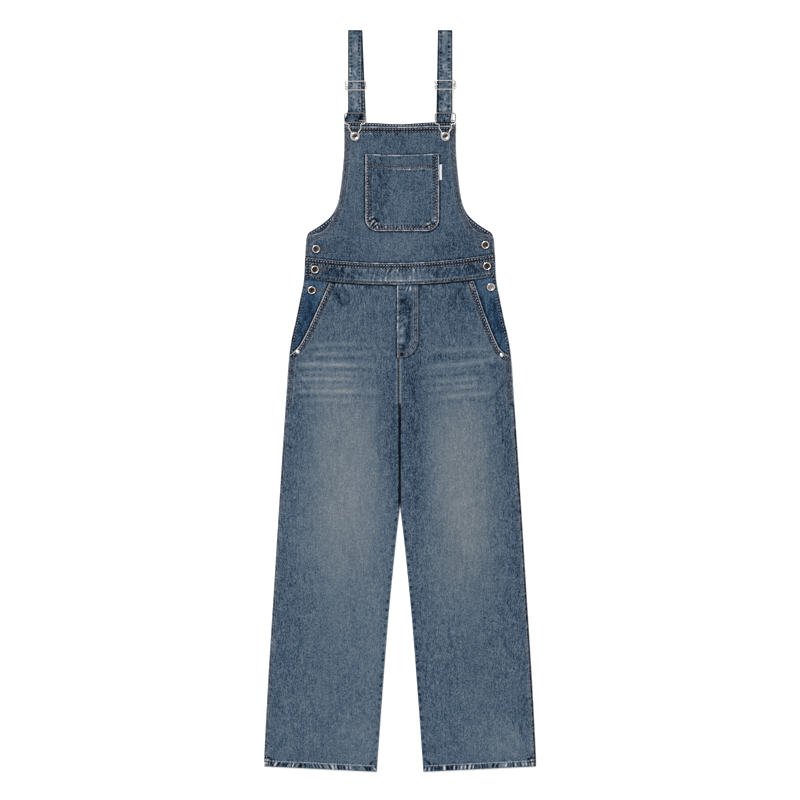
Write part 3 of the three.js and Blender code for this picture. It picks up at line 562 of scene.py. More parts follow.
@dataclass
class Seam:
    """A sewn edge or line: its stitch rows, its pale rim, and the puckers that its stitches draw up.

    The tone gets a pale rim, partly worn edge and partly painted highlight where the rolled edge catches
    the light, a dark band of painted shade with a groove of painted shade at each row, a pale ridge behind
    each row, from wear and painted highlight, and slanting puckers, paler on their ridges from wear and
    painted light and darker in their folds as painted shade, which are a cosine and noise of the running
    length under a bell of the distance, stronger at the places in swell. The height gets the grooves and
    the same puckers. What lies outside the edge gets a dark line of painted shadow.
    """

    line: np.ndarray
    rows: tuple = ()
    light: float = 0.3
    rim: float = 2.3
    row_dark: float = 0.5
    ridge: float = 0.14
    pitch: float = 9.0
    slant: float = 0.5
    centre: float = 7.0
    reach: float = 5.0
    tone: float = 0.12
    lift: float = 0.4
    outside: float = 0.0
    seed: int = 1
    shades: tuple = (0.9, -0.9)
    band: float = 0.14
    swell: tuple = ()
    spacing: float = 1.0

    def effect(self, x, y):
        """Height and tone that the seam adds at the points."""
        distance, run, length = measure(self.line, x, y)
        fade = ease(-SEAM_ENDS, SEAM_ENDS, run) * (1 - ease(length - SEAM_ENDS, length + SEAM_ENDS, run))
        inside = 1.0 * (distance > -0.8)
        lean = (self.slant + 0.6 * wander(run / 33.0, self.seed + 7)) * distance
        phase = (run + lean) / self.pitch + 0.8 * wander(run / (2.7 * self.pitch), self.seed)
        strength = 0.65 + 0.5 * wander(run / (1.7 * self.pitch) + 40.0, self.seed + 1)
        pucker = 0.7 * wave(phase) * strength
        pucker += 0.75 * wander((run + lean) * 2.4 / self.pitch, self.seed + 2)
        for at, half, extra in self.swell:
            pucker = pucker * (1.0 + extra * bell(run - at, half))
        window = bell(np.abs(distance) - self.centre, self.reach)
        rim = 1 - ease(self.rim * 0.82, self.rim * 1.18, np.abs(distance))
        # The pale rim: partly wear of the edge, partly painted highlight where the rolled edge catches the
        # light; a negative light darkens it instead.
        worn = self.light * rim * (0.85 + 0.3 * wander(run / 5.0, self.seed + 3))
        # Puckers: paler on their ridges from wear and painted light, darker in their folds as painted shade.
        tone = worn + self.tone * pucker * window
        lift = self.lift * pucker * window
        # Painted shade in the band between the rim and the rows and in each row's groove; a pale ridge behind
        # each row, from wear and painted highlight.
        if self.rows:
            last = max(self.rows)
            past = ease(last, last + 3.0, distance)
            tone = tone - self.band * ease(self.rim, self.rim + 1.2, distance) * (1 - past)
        for k, row in enumerate(self.rows):
            deep = 0.8 + 0.35 * wander(run / 7.0, self.seed + 4 + k)
            behind = distance - row - 3.3
            tone = tone - self.row_dark * deep * bell(distance - row, 1.6) * (1.0 - 0.35 * k)
            tone = tone + self.ridge * bell(behind, 1.5)
            lift = lift - SEAM_GROOVE * bell(distance - row, 1.3) + 0.5 * SEAM_GROOVE * bell(behind, 1.6)
        # Painted shadow on what lies just outside the edge.
        shadow = -self.outside * bell(np.minimum(distance + 1.6, 0.0), 1.5) * (distance < 1.0)
        return lift * fade * inside, (tone * inside + shadow) * fade


def shadow(line, depth, seed):
    """The dark line that a cloth's edge casts on the cloth below it."""
    return Seam(line, light=0.0, outside=depth, tone=0.0, lift=0.0, seed=seed)


# Meshes


def mesh_object(name, points, faces, shade_smooth=True, **values):
    """A mesh object from points in millimetres and arrays of faces, with a value per point by name."""
    mesh = bpy.data.meshes.new(name)
    sizes = np.concatenate([np.full(len(part), part.shape[1], dtype=np.int32) for part in faces])
    corners = np.concatenate([np.ravel(part) for part in faces]).astype(np.int32)
    mesh.vertices.add(len(points))
    mesh.vertices.foreach_set("co", (np.asarray(points, dtype=np.float32) * MM).ravel())
    mesh.loops.add(len(corners))
    mesh.loops.foreach_set("vertex_index", corners)
    mesh.polygons.add(len(sizes))
    mesh.polygons.foreach_set("loop_start", np.concatenate([[0], np.cumsum(sizes)[:-1]]).astype(np.int32))
    mesh.polygons.foreach_set("loop_total", sizes)
    mesh.polygons.foreach_set("use_smooth", np.full(len(sizes), shade_smooth))
    for key, value in values.items():
        layer = mesh.attributes.new(key, "FLOAT", "POINT")
        layer.data.foreach_set("value", np.asarray(value, dtype=np.float32).ravel())
    mesh.update(calc_edges=True)
    mesh.validate()
    thing = bpy.data.objects.new(name, mesh)
    bpy.context.scene.collection.objects.link(thing)
    return thing


def lattice_faces(rows, columns, first=0, closed_rows=False, closed_columns=False):
    """Four-sided faces of a grid of points that are numbered row by row from first."""
    j = np.arange(rows if closed_rows else rows - 1)
    i = np.arange(columns if closed_columns else columns - 1)
    jj, ii = np.meshgrid(j, i, indexing="ij")
    next_j, next_i = (jj + 1) % rows, (ii + 1) % columns
    row, next_row = jj * columns, next_j * columns
    quads = np.stack([row + ii, row + next_i, next_row + next_i, next_row + ii], -1)
    return quads.reshape(-1, 4) + first


def spread(length, fine, coarse, margin, places=()):
    """Shares of a length: close steps at both rims, fine ones near the ends and the places, else coarse.

    They come from adding up the wanted density and reading it back evenly.
    """
    at = np.linspace(0.0, length, 4000)
    near = np.zeros(len(at))
    for place in (0.0, length, *places):
        near = np.maximum(near, 1 - ease(margin, margin + 8.0, np.abs(at - place)))
    density = 1.0 / mix(coarse, fine, near)
    total = np.concatenate([[0.0], np.cumsum((density[1:] + density[:-1]) / 2 * (at[1] - at[0]))])
    inner = np.interp(np.linspace(0.0, total[-1], int(np.ceil(total[-1])) + 1), total, at)
    inner = inner[(inner > 2.0) & (inner < length - 2.0)]
    start = np.array([0.0, 0.3, 0.8, 1.4])
    return np.concatenate([start, inner, length - start[::-1]]) / length


@dataclass
class Cloth:
    """A panel of cloth: four edges, an underside, a wall, its seams and its tone.

    start and end give x at a height, above and below give a height at an x. A grid point lies at the
    share v between above and below and u between start and end, solved together in a few rounds. The
    wall is rounded to a thin rim at the edges, and the underside repeats the grid, so the panel is
    one closed shell.
    """

    name: str
    start: object
    end: object
    above: object
    below: object
    bottom: object
    wall: object
    tone: object
    seams: tuple = ()

    def surface(self, x, y):
        """Height of the outer face and tone at the points, before the edges are rounded."""
        height = self.bottom(x, y) + self.wall(x, y)
        tone = self.tone(x, y)
        for seam in self.seams:
            lift, shade = seam.effect(x, y)
            height = height + lift
            tone = tone + shade
        return height, tone

    def rim(self, x, y):
        """Distance to the nearest of the four edges, square to each."""
        def square(edge, at, gap):
            slope = edge(at + 0.5) - edge(at - 0.5)
            return np.abs(gap) / np.sqrt(1.0 + slope * slope)

        across = [square(edge, y, x - edge(y)) for edge in (self.start, self.end)]
        along = [square(edge, x, y - edge(x)) for edge in (self.above, self.below)]
        return np.minimum.reduce(across + along)

    def grid(self, shares_across, shares_along):
        """The points of the panel in the plane."""
        u, v = np.meshgrid(shares_across, shares_along)
        y = mix(self.above(0.0 * u), self.below(0.0 * u), v)
        for _ in range(GRID_ROUNDS):
            x = mix(self.start(y), self.end(y), u)
            y = mix(self.above(x), self.below(x), v)
        return x, y

    def build(self, shares_across, shares_along):
        """The panel as a mesh object with its tone as a point value."""
        x, y = self.grid(shares_across, shares_along)
        height, tone = self.surface(x, y)
        low = self.bottom(x, y)
        part = np.clip(self.rim(x, y) / EDGE_ROUND, 0.0, 1.0)
        share = mix(EDGE_SHARE, 1.0, np.sqrt(1.0 - (1.0 - part) ** 2))
        top = low + np.maximum(height - low, THINNEST) * share
        rows, columns = x.shape
        upper_points = np.stack([x, y, top], -1).reshape(-1, 3)
        upper = lattice_faces(rows, columns)
        kept = np.unique(np.append(np.arange(0, columns, UNDERSIDE_STEP), columns - 1))
        used = np.zeros((rows, columns), dtype=bool)
        used[[0, -1], :] = True
        used[:, kept] = True
        index = np.full((rows, columns), -1)
        index[used] = rows * columns + np.arange(used.sum())
        lower_points = np.stack([x, y, low], -1)[used]
        inner = index[1:-1][:, kept]
        quads = np.stack([inner[:-1, :-1], inner[1:, :-1], inner[1:, 1:], inner[:-1, 1:]], -1).reshape(-1, 4)
        faces = [upper, quads]
        for near, far, flip in ((0, 1, 1), (rows - 1, rows - 2, -1)):
            for i, j in zip(kept[:-1], kept[1:]):
                border = np.concatenate([index[near, i : j + 1][::-1], index[far, [i, j]]])
                faces.append(border[::flip][None, :])
        grid = np.arange(rows * columns).reshape(rows, columns)
        high, under_it = (
            np.concatenate([part[0, :-1], part[:-1, -1], part[-1, :0:-1], part[:0:-1, 0]])
            for part in (grid, index)
        )
        faces.append(np.stack([np.roll(high, -1), high, under_it, np.roll(under_it, -1)], axis=1))
        points = np.concatenate([upper_points, lower_points])
        a, b, c = points[upper[0, 0]], points[upper[0, 1]], points[upper[0, 2]]
        if np.cross(b - a, c - a)[2] < 0:
            faces = [part[:, ::-1] for part in faces]
        warm = fade_sum(x, y, WARMTH)
        tone, warm = (np.concatenate([part.ravel(), part[used]]) for part in (tone, warm))
        return mesh_object(self.name, points, faces, tone=tone, warm=warm)


# Stitches


def dress(thing, material, slot, node=None):
    """Rides a piece on the body and lets it stand for its node where it has one; its slot is not used."""
    thing.data.materials.append(material)
    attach(thing, ROOT)
    if node:
        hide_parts(node)


def capsule(long, wide, high, stations=5, sides=6):
    """A rounded bar along X: its radius is the square root of 1 less almost s to the fourth."""
    s = np.linspace(-1.0, 1.0, stations)
    swell = (1.0 - 0.96 * s**4) ** 0.5
    angle = circle(sides)
    x = np.repeat(s * long / 2, sides)
    y = (swell[:, None] * np.cos(angle) * wide / 2).ravel()
    z = (swell[:, None] * np.sin(angle) * high / 2 + (high * 0.35 * (1 - s**2))[:, None]).ravel()
    sides_faces = lattice_faces(stations, sides, closed_columns=True)
    cap = np.arange(sides)
    caps = np.stack([cap[::-1], cap + (stations - 1) * sides])
    return np.stack([x, y, z], axis=1), sides_faces, caps


def place_copies(shape, centres, along, normals):
    """Copies of a shape with its X along each direction and its Z along each normal."""
    across = unit(np.cross(normals, along))
    up = np.cross(along, across)
    frames = np.stack([along, across, up], axis=1)
    return (centres[:, None, :] + np.einsum("pk,nkc->npc", shape, frames)).reshape(-1, 3)


def repeat_faces(faces, count, size):
    """A shape's faces for each of its copies."""
    return (faces[None, :, :] + (np.arange(count) * size)[:, None, None]).reshape(-1, faces.shape[1])


def threads(name, size, centres, along, shade, settings, normals):
    """One joined mesh of rounded bars of thread, each with its own shade."""
    shape, *parts = capsule(*size)
    points = place_copies(shape, centres, along, normals)
    faces = [repeat_faces(part, len(centres), len(shape)) for part in parts]
    thing = mesh_object(name, points, faces, shade=np.repeat(shade, len(shape)))
    dress(thing, thread_material(settings), "denim")


def stitch_row(line, height, settings, seed, spacing):
    """Centres and directions of the stitches along a line, with small fixed irregularities."""
    run = running(line)
    pitch = settings.stitch_pitch / MM * spacing
    at = np.arange(ROW_TRIM + pitch / 2, run[-1] - ROW_TRIM, pitch)
    if len(at) < 2:
        return np.empty((0, 3)), np.empty((0, 3))
    jitter = np.random.default_rng(seed).uniform(-0.05, 0.05, (len(at), 2)) * pitch
    at = at + jitter[:, 0]
    half = settings.stitch_length / MM / 2
    ends = []
    for move in (-half, half):
        x, y = (np.interp(at + move, run, line[:, k]) for k in (0, 1))
        ends.append(np.stack([x, y, height(x, y)], axis=1))
    middle = (ends[0] + ends[1]) / 2
    middle[:, 2] = np.maximum(middle[:, 2], height(middle[:, 0], middle[:, 1]))
    return middle, unit(ends[1] - ends[0])


def stitches(name, centres, along, tones, settings, seed, normals=(0.0, 0.0, 1.0)):
    """Stitches of the set size, each with its own shade of thread about its row's."""
    thick = settings.thread / MM
    shade = tones + np.random.default_rng(seed).uniform(-0.5, 0.5, len(centres))
    size = (settings.stitch_length / MM, thick, thick * 0.8)
    threads(name, size, centres, along, shade, settings, normals)


def sew(name, cloth, settings, seed):
    """All stitch rows of a panel's seams, lying on its surface."""

    def height(x, y):
        return cloth.surface(x, y)[0] + STITCH_RISE

    found = []
    for k, seam in enumerate(cloth.seams):
        for row, shade in zip(seam.rows, seam.shades):
            line = shifted(seam.line, row)
            centres, along = stitch_row(line, height, settings, seed + 10 * k, seam.spacing)
            found.append((centres, along, np.full(len(centres), shade)))
    stitches(name, *(np.concatenate(parts) for parts in zip(*found)), settings, seed)


def bartack(name, x, up, turn, long, cloth, settings, seed, shade=-0.5):
    """A dense bar of stitches side by side, each across the bar's own direction."""
    at = np.linspace(-long / 2, long / 2, int(long / BARTACK_STEP) + 1)
    ends = np.random.default_rng(seed).uniform(-0.5, 0.5, len(at))
    across = np.array([-math.sin(turn), math.cos(turn), 0.0])
    plan = np.column_stack([x + at * math.cos(turn), up + at * math.sin(turn)]) + ends[:, None] * across[:2]
    centres = np.column_stack([plan, cloth.surface(plan[:, 0], plan[:, 1])[0] + BARTACK_RISE])
    along = np.tile(across, (len(at), 1))
    stitches(name, centres, along, np.full(len(at), shade), settings, seed)


# Turned and swept pieces


def turned(profile, segments=48):
    """A profile of (radius, height) from the axis outwards and down, turned about Z, closed below."""
    table = np.array(profile + [(0.0, profile[-1][1])], dtype=float)
    middle = table[1:-1]
    angle = circle(segments)
    radius, high = middle[:, :1], np.repeat(middle[:, 1:], segments, axis=1)
    rings = np.stack([radius * np.cos(angle), radius * np.sin(angle), high], axis=-1).reshape(-1, 3)
    points = np.concatenate([[[0, 0, table[0, 1]]], rings, [[0, 0, table[-1, 1]]]])
    k = np.arange(segments)
    after = (k + 1) % segments
    last = 1 + (len(middle) - 1) * segments
    top = np.stack([np.zeros(segments, dtype=int), 1 + k, 1 + after], axis=1)
    bottom = np.stack([np.full(segments, len(points) - 1), last + after, last + k], axis=1)
    sides = lattice_faces(len(middle), segments, first=1, closed_columns=True)[:, ::-1]
    return points, [sides, np.concatenate([top, bottom])]


def closed_curve(points, samples):
    """A closed smooth line through points: cubics whose slopes follow each point's neighbours."""
    p = np.asarray(points, dtype=float)
    knots = np.sqrt(np.linalg.norm(np.roll(p, -1, axis=0) - p, axis=1))
    back = np.roll(knots, 1)
    before, after = np.roll(p, 1, axis=0), np.roll(p, -1, axis=0)
    slope = (p - before) / back[:, None] - (after - before) / (back + knots)[:, None]
    slope = slope + (after - p) / knots[:, None]
    at = np.linspace(0.0, len(p), samples, endpoint=False)
    k = at.astype(int)
    t = (at - k)[:, None]
    n = (k + 1) % len(p)
    return cubic(t, p[k], p[n], knots[k][:, None], slope[k], slope[n])


def swept(line, radius, sides=14):
    """Round wire along a closed line: rings square to it, with one axis kept level."""
    along = unit(np.roll(line, -1, axis=0) - np.roll(line, 1, axis=0))
    across = unit(np.cross(along, [0.0, 0.0, 1.0]))
    up = np.cross(across, along)
    angle = circle(sides)[None, :, None]
    rings = line[:, None, :] + radius * (np.cos(angle) * across[:, None, :] + np.sin(angle) * up[:, None, :])
    return rings.reshape(-1, 3), [lattice_faces(len(line), sides, closed_rows=True, closed_columns=True)]


# Finishes


class Value:
    """A shader socket that adds a Math node for each operation on it."""

    def __init__(self, paint, socket):
        self.paint = paint
        self.socket = socket

    def math(self, operation, *others):
        return self.paint.node("ShaderNodeMath", {"operation": operation}, (self, *others)).out(0)

    def __add__(self, other):
        return self.math("ADD", other)

    def __sub__(self, other):
        return self.math("SUBTRACT", other)

    def __mul__(self, other):
        return self.math("MULTIPLY", other)

    __radd__ = __add__
    __rmul__ = __mul__


class Node:
    """A shader node whose outputs are taken by name or number."""

    def __init__(self, paint, made):
        self.paint = paint
        self.made = made

    def out(self, key):
        return Value(self.paint, self.made.outputs[key])


class Nodes:
    """A node tree that is built by expressions."""

    def __init__(self, owner):
        owner.use_nodes = True
        self.tree = owner.node_tree

    def node(self, kind, settings=None, inputs=()):
        """A node of a kind, with its settings first and then the values or links of its sockets."""
        made = self.tree.nodes.new(kind)
        for key, value in (settings or {}).items():
            if key == "stops":
                self.ramp(made.color_ramp, value)
            else:
                setattr(made, key, value)
        pairs = inputs.items() if isinstance(inputs, dict) else enumerate(inputs)
        for key, value in pairs:
            if isinstance(value, Value):
                self.tree.links.new(value.socket, made.inputs[key])
            else:
                made.inputs[key].default_value = value
        return Node(self, made)

    @staticmethod
    def ramp(band, stops):
        """Sets a colour ramp's stops, from rows of place, red, green and blue shares of light."""
        while len(band.elements) < len(stops):
            band.elements.new(1.0)
        for element, (place, *colour) in zip(band.elements, stops):
            element.position = place
            element.color = (*colour, 1.0)

    def attribute(self, name):
        return self.node("ShaderNodeAttribute", {"attribute_name": name}).out("Fac")

    def speckle(self, scale, detail=2.0, roughness=0.5, stretch=(1.0, 1.0, 1.0)):
        """Noise from -0.5 to 0.5 on Object coordinates in metres, stretched along the axes."""
        place = self.node("ShaderNodeTexCoord").out("Object")
        turned_place = self.node("ShaderNodeMapping", None, {"Vector": place, "Scale": stretch}).out(0)
        noise = self.node(
            "ShaderNodeTexNoise", None,
            {"Vector": turned_place, "Scale": scale, "Detail": detail, "Roughness": roughness},
        )
        return noise.out("Fac") - 0.5


class Paint(Nodes):
    """A material, with its shader's sockets set by value or by expression."""

    def __init__(self, name, roughness, metallic=0.0, specular=0.5):
        self.material = bpy.data.materials.new(name)
        super().__init__(self.material)
        self.shader = self.tree.nodes["Principled BSDF"]
        self.shader.inputs["Roughness"].default_value = roughness
        self.shader.inputs["Metallic"].default_value = metallic
        self.shader.inputs["Specular IOR Level"].default_value = specular

    def set(self, socket, value):
        self.tree.links.new(value.socket, self.shader.inputs[socket])

    def blend(self, share, first, second, **settings):
        """A colour the share of the way from the first to the second."""
        colours = [part if isinstance(part, Value) else (*part, 1.0) for part in (first, second)]
        settings = {"data_type": "RGBA", "clamp_factor": True, **settings}
        return self.node("ShaderNodeMix", settings, {0: share, 6: colours[0], 7: colours[1]}).out(2)

    def bump(self, strength, distance, height):
        """Tilts the surface by a height."""
        inputs = {"Strength": strength, "Distance": distance, "Height": height}
        self.set("Normal", self.node("ShaderNodeBump", None, inputs).out("Normal"))


def linear(part):
    """A screen colour value of 0 to 255 as the share of light that gives it under this stage."""
    share = part / 255.0
    light = share / 12.92 if share <= 0.04045 else ((share + 0.055) / 1.055) ** 2.4
    return light / STAGE_LIGHT


MADE = {}


def once(make):
    """Keeps the one material of each maker."""

    def get(settings):
        if make not in MADE:
            MADE[make] = make(settings)
        return MADE[make]

    return get


def denim(name, tones, settings):
    """Washed twill: its tone value with slubs down the warp, speckle and a fine diagonal, also as bump."""
    paint = Paint(name, 0.92, specular=0.12)
    slub = paint.speckle(760.0, 2.0, 0.6, (1.0, 0.36, 1.0))
    cross = paint.speckle(700.0, 1.0, 0.5, (0.4, 1.0, 1.0))
    grain = paint.speckle(1100.0, 1.0, 0.5)
    streak = paint.speckle(300.0, 2.0, 0.5, (1.0, 0.12, 1.0))
    cloud = paint.speckle(70.0, 3.0, 0.5, (1.0, 0.6, 1.0))
    place = paint.node("ShaderNodeTexCoord").out("Object")
    twill = paint.node(
        "ShaderNodeTexWave", {"wave_type": "BANDS", "bands_direction": "DIAGONAL"},
        {"Vector": place, "Scale": 310.0, "Distortion": 1.2, "Detail": 1.0, "Detail Scale": 2.0},
    ).out("Fac")
    amount = settings.grain
    fine = slub * (2.1 * amount) + cross * (0.6 * amount) + grain * (1.1 * amount) + streak * (0.56 * amount)
    base = paint.attribute("tone")
    strength = (base * -1.6 + 1.55).math("MINIMUM", 0.94)
    mixed = (fine.math("MINIMUM", 0.44) + cloud * (0.17 * amount)) * strength
    tone = base + mixed + (twill - 0.4) * 0.05
    stops = [(place, *map(linear, colour)) for place, *colour in tones]
    colour = paint.node("ShaderNodeValToRGB", {"stops": stops}, (tone,)).out("Color")
    tinted = paint.blend(paint.attribute("warm"), colour, WARM_TINT, blend_type="MULTIPLY")
    paint.set("Base Color", tinted)
    paint.bump(0.6, 0.0004, twill * 0.5 + slub * 1.2 + grain * 0.8)
    return paint.material


@once
def denim_material(settings):
    return denim("washed_denim", DENIM_TONES, settings)


@once
def facing_material(settings):
    return denim("deep_denim", FACING_TONES, settings)


@once
def thread_material(settings):
    """Faded thread: a mix of a brown and a pale lilac by each stitch's shade and fine fibre noise."""
    paint = Paint("thread", 0.75, specular=0.25)
    share = paint.attribute("shade") * 0.35 + 0.5 + paint.speckle(2500.0) * 0.5
    paint.set("Base Color", paint.blend(share, settings.thread_dark, settings.thread_light))
    return paint.material


@once
def wire_material(settings):
    """Polished nickel wire with faint drawn marks and darker spots, and darker metal on some parts as painted
    shade and dark reflection.
    """
    paint = Paint("wire", 0.2, metallic=1.0)
    spots = paint.speckle(420.0, 3.0)
    # Darker metal: painted shade and dark reflection on some parts, and random darker spots
    share = paint.attribute("dull") + spots * 0.5
    paint.set("Base Color", paint.blend(share, settings.metal, settings.shade_and_spot_metal))
    paint.set("Roughness", spots * 0.2 + 0.2)
    return paint.material


@once
def button_material(settings):
    """Silver rim and sunk copper middle, told apart by the piece's own inner value, the copper mottled with
    patina and painted glints.
    """
    paint = Paint("button", 0.25, metallic=1.0)
    inner = paint.attribute("inner")
    # Mottling: painted glints of silver in the copper, and copper patina spots on the rim
    patina_and_glints = paint.speckle(700.0, 3.0)
    paint.set("Base Color", paint.blend(inner + patina_and_glints * 0.7, settings.metal, settings.copper))
    paint.set("Roughness", inner * 0.15 + 0.22 + patina_and_glints * 0.2)
    return paint.material


@once
def tape_material(settings):
    """White woven tape with a fine rib, darker as painted shadow where it goes into the pocket's seam."""
    paint = Paint("tape", 0.8)
    ribs = paint.speckle(900.0, 1.0, 0.5, (1.0, 0.2, 1.0))
    bright = ribs * 0.08 + 0.8 - paint.attribute("tucked") * 0.35
    colour = paint.node("ShaderNodeCombineColor", None, (bright * 0.95, bright * 0.97, bright * 1.05)).out(0)
    paint.set("Base Color", colour)
    paint.bump(0.4, 0.0002, ribs)
    return paint.material


# Tone of the cloth


def fade_sum(x, y, table):
    """Sum of soft patches, each a flat-topped bell across and along."""
    total = 0.0 * x
    for fade_x, fade_up, wide, tall, strength in table:
        across, along = np.abs((x - fade_x) / wide), np.abs((y - fade_up) / tall)
        total = total + strength * np.exp(-across ** 2.7 - along**3)
    return total


def beside(x, y, x0, y0, x1, y1):
    """Length of a straight mark, and the points' places along and across it."""
    length = math.hypot(x1 - x0, y1 - y0)
    cos, sin = (x1 - x0) / length, (y1 - y0) / length
    return length, (x - x0) * cos + (y - y0) * sin, (y - y0) * cos - (x - x0) * sin


def leg_tone(x, y):
    """Mid tone, paler down the middle of each leg, with whiskers at the hips and darker sides."""
    # Fades, with painted shade beside the gap between the legs
    tone = 0.52 + fade_sum(x, y, FADES)
    for *mark, wide, strength in WHISKERS:
        length, along, across = beside(x, y, *mark)
        bent = across + 1.1 * wander(along / 38.0, 3) + 9.0 * (along / length - 0.5) ** 2
        shape = bell(bent, 1.35 * wide) - 0.6 * bell(bent + 2.5 * wide, 1.1 * wide)
        from_side = along if mark[0] < 0 else length - along
        ends = ease(-20.0, 14.0, from_side) * (1 - ease(0.55 * length, length + 34.0, from_side))
        broken = 0.8 + 0.22 * wander(along / 17.0, 5) + 0.26 * mottle(x / 12.0, y / 3.0, 4)
        tone = tone + 1.1 * strength * shape * ends * broken
    # Creases painted as light and shade, and marks at the hem corners
    tone = tone + streaks(x, y, LEG_CREASES) + strokes(np.abs(x), y, HEM_MARKS)
    tone = tone - 0.05 * (1 - ease(4.0, 45.0, side_out(y) - np.abs(x)))
    notch = ease(0.0, 0.8, wave(y / 17.0 + 0.35 * wander(y / 40.0, 7) + 0.3 * (x > 0)))
    below = 1 - ease(SLIT_END - 30.0, SLIT_END, y)
    tone = tone - 0.34 * notch * below * bell(np.abs(x) - inner_out(y) - 4.6, 2.4)
    return tone + 0.015 * mottle(x / 26.0, y / 40.0, 8)


def strokes(x, y, table):
    """Short straight marks: each a bell of the distance from its line."""
    tone = 0.0 * x
    for x0, y0, x1, y1, wide, strength in table:
        dx, dy = x1 - x0, y1 - y0
        share = np.clip(((x - x0) * dx + (y - y0) * dy) / (dx * dx + dy * dy), 0.0, 1.0)
        tone = tone + strength * bell(np.hypot(x - x0 - share * dx, y - y0 - share * dy), wide)
    return tone


def streaks(x, y, table):
    """Short straight creases painted as light and shade: each a bell across its line, faded at both ends, and
    a little wavy.
    """
    tone = 0.0 * x
    for k, (*mark, wide, strength) in enumerate(table):
        length, along, across = beside(x, y, *mark)
        across = across + 1.5 * wander(along / 15.0 + 7 * k, 6)
        ends = ease(-6.0, 8.0, along) * (1 - ease(length - 8.0, length + 6.0, along))
        tone = tone + strength * bell(across, wide) * ends
    return tone


def button_shadow_ring(x, y, nodes):
    """A ring of painted shadow on the cloth round each button, a bell of the distance from its rim."""
    radius, wide, dark = BUTTON_SHADOW_RING
    tone = 0.0 * x
    for node in nodes:
        middle = centre_of(node)[0]
        tone = tone - dark * bell(np.hypot(x - middle[0], y - middle[1]) - radius, wide)
    return tone


def plain_tone(level, seed, creases=(), buttons=(), fades=(), marks=()):
    """An even tone with soft clouds, creases painted as light and shade, fades, marks and rings of painted
    shadow round the buttons.
    """

    def tone(x, y):
        worn = streaks(x, y, creases) + fade_sum(x, y, fades) + strokes(x, y, marks)
        return level + 0.02 * mottle(x / 24.0, y / 34.0, seed) + worn + button_shadow_ring(x, y, buttons)

    return tone


def hem_add(depth, distance):
    """Extra thickness of a turned hem, gone past its depth."""
    return HEM_RISE * (1 - ease(depth - 0.6, depth + 1.4, distance))


def cut_size(cloth):
    """Width, length and area of a panel's cut, in metres, from a grid of its outline."""
    x, y = cloth.grid(np.linspace(0, 1, 60), np.linspace(0, 1, 200))
    width, length = np.ptp(x) * MM, np.ptp(y) * MM
    down = (x[1:, 1:] - x[:-1, :-1]) * (y[1:, :-1] - y[:-1, 1:])
    up = (x[1:, :-1] - x[:-1, 1:]) * (y[1:, 1:] - y[:-1, :-1])
    area = 0.5 * np.abs(down - up).sum() * MM * MM
    return (round(width, 4), round(length, 4)), round(min(area, width * length), 5)


def finish_panel(cloth, across, along, node, rests_on, settings, sewing=None, slot="denim"):
    thing = cloth.build(spread(*across), spread(*along))
    flat, area = cut_size(cloth)
    dress(thing, (facing_material if slot == "denim_facing" else denim_material)(settings), slot, node)
    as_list(rests_on)
    if sewing:
        sew(sewing[0], cloth, settings, sewing[1])


# Panels


def band_top_edge():
    """The waistband's upper edge, with the waistband inside it."""
    return cross_edge(waist_top, *BAND_TOP)


def band_foot_edge():
    """The waistband's lower edge, with the legs outside it."""
    return cross_edge(waist_bottom, *BAND_BOTTOM)[::-1]


def bib_cloth():
    """The front bib, sewn at its armholes and top, with the shadows of the waistband and the pocket."""
    armhole = {
        "rows": (3.8, 9.2), "light": 0.4, "rim": 1.8, "tone": 0.18, "pitch": 6.5, "centre": 8.0, "lift": 0.35,
        "band": 0.06, "shades": (-0.8, -1.1), "spacing": 0.68,
    }
    seams = []
    for sign, end, seed in ((-1, BAND_TOP[1], 11), (1, BAND_TOP[0], 17)):
        edge = down_edge(front_out, front_top(sign * BIB_HALF) - 1.0, waist_top(end), sign)
        seams.append(Seam(edge, seed=seed, slant=-0.6 * sign, **armhole))
    seams += [
        Seam(
            cross_edge(front_top, BIB_HALF, -BIB_HALF), rows=(4.8, 10.6), light=0.5, rim=2.0, band=0.4,
            tone=0.36, pitch=6.5, slant=0.1, centre=14.0, seed=23, shades=(0.0, -0.5),
        ),
        Seam(band_top_edge(), light=0.0, outside=0.3, tone=0.07, seed=29),
        shadow(pocket_outline(), 0.62, 31),
        shadow(cross_edge(pocket_top, POCKET["right"], POCKET["left"]), 0.3, 33),
    ]

    def wall(x, y):
        from_top = front_top(x) - y
        from_edge = np.minimum(from_top, 0.8 * (front_out(y) - np.abs(x)) + 3.0)
        hems = hem_add(BIB_HEM_DEPTH, from_top) + 0.5 * hem_add(BIB_HEM_DEPTH, from_edge)
        return WALL + np.minimum(hems, HEM_RISE)

    return Cloth(
        "bib_front", sided(-1, front_out), front_out, front_top, lambda x: waist_top(x) + GAP, under, wall,
        plain_tone(0.5, 31, BIB_CREASES, BIB_BUTTONS, BIB_FADES), seams,
    )


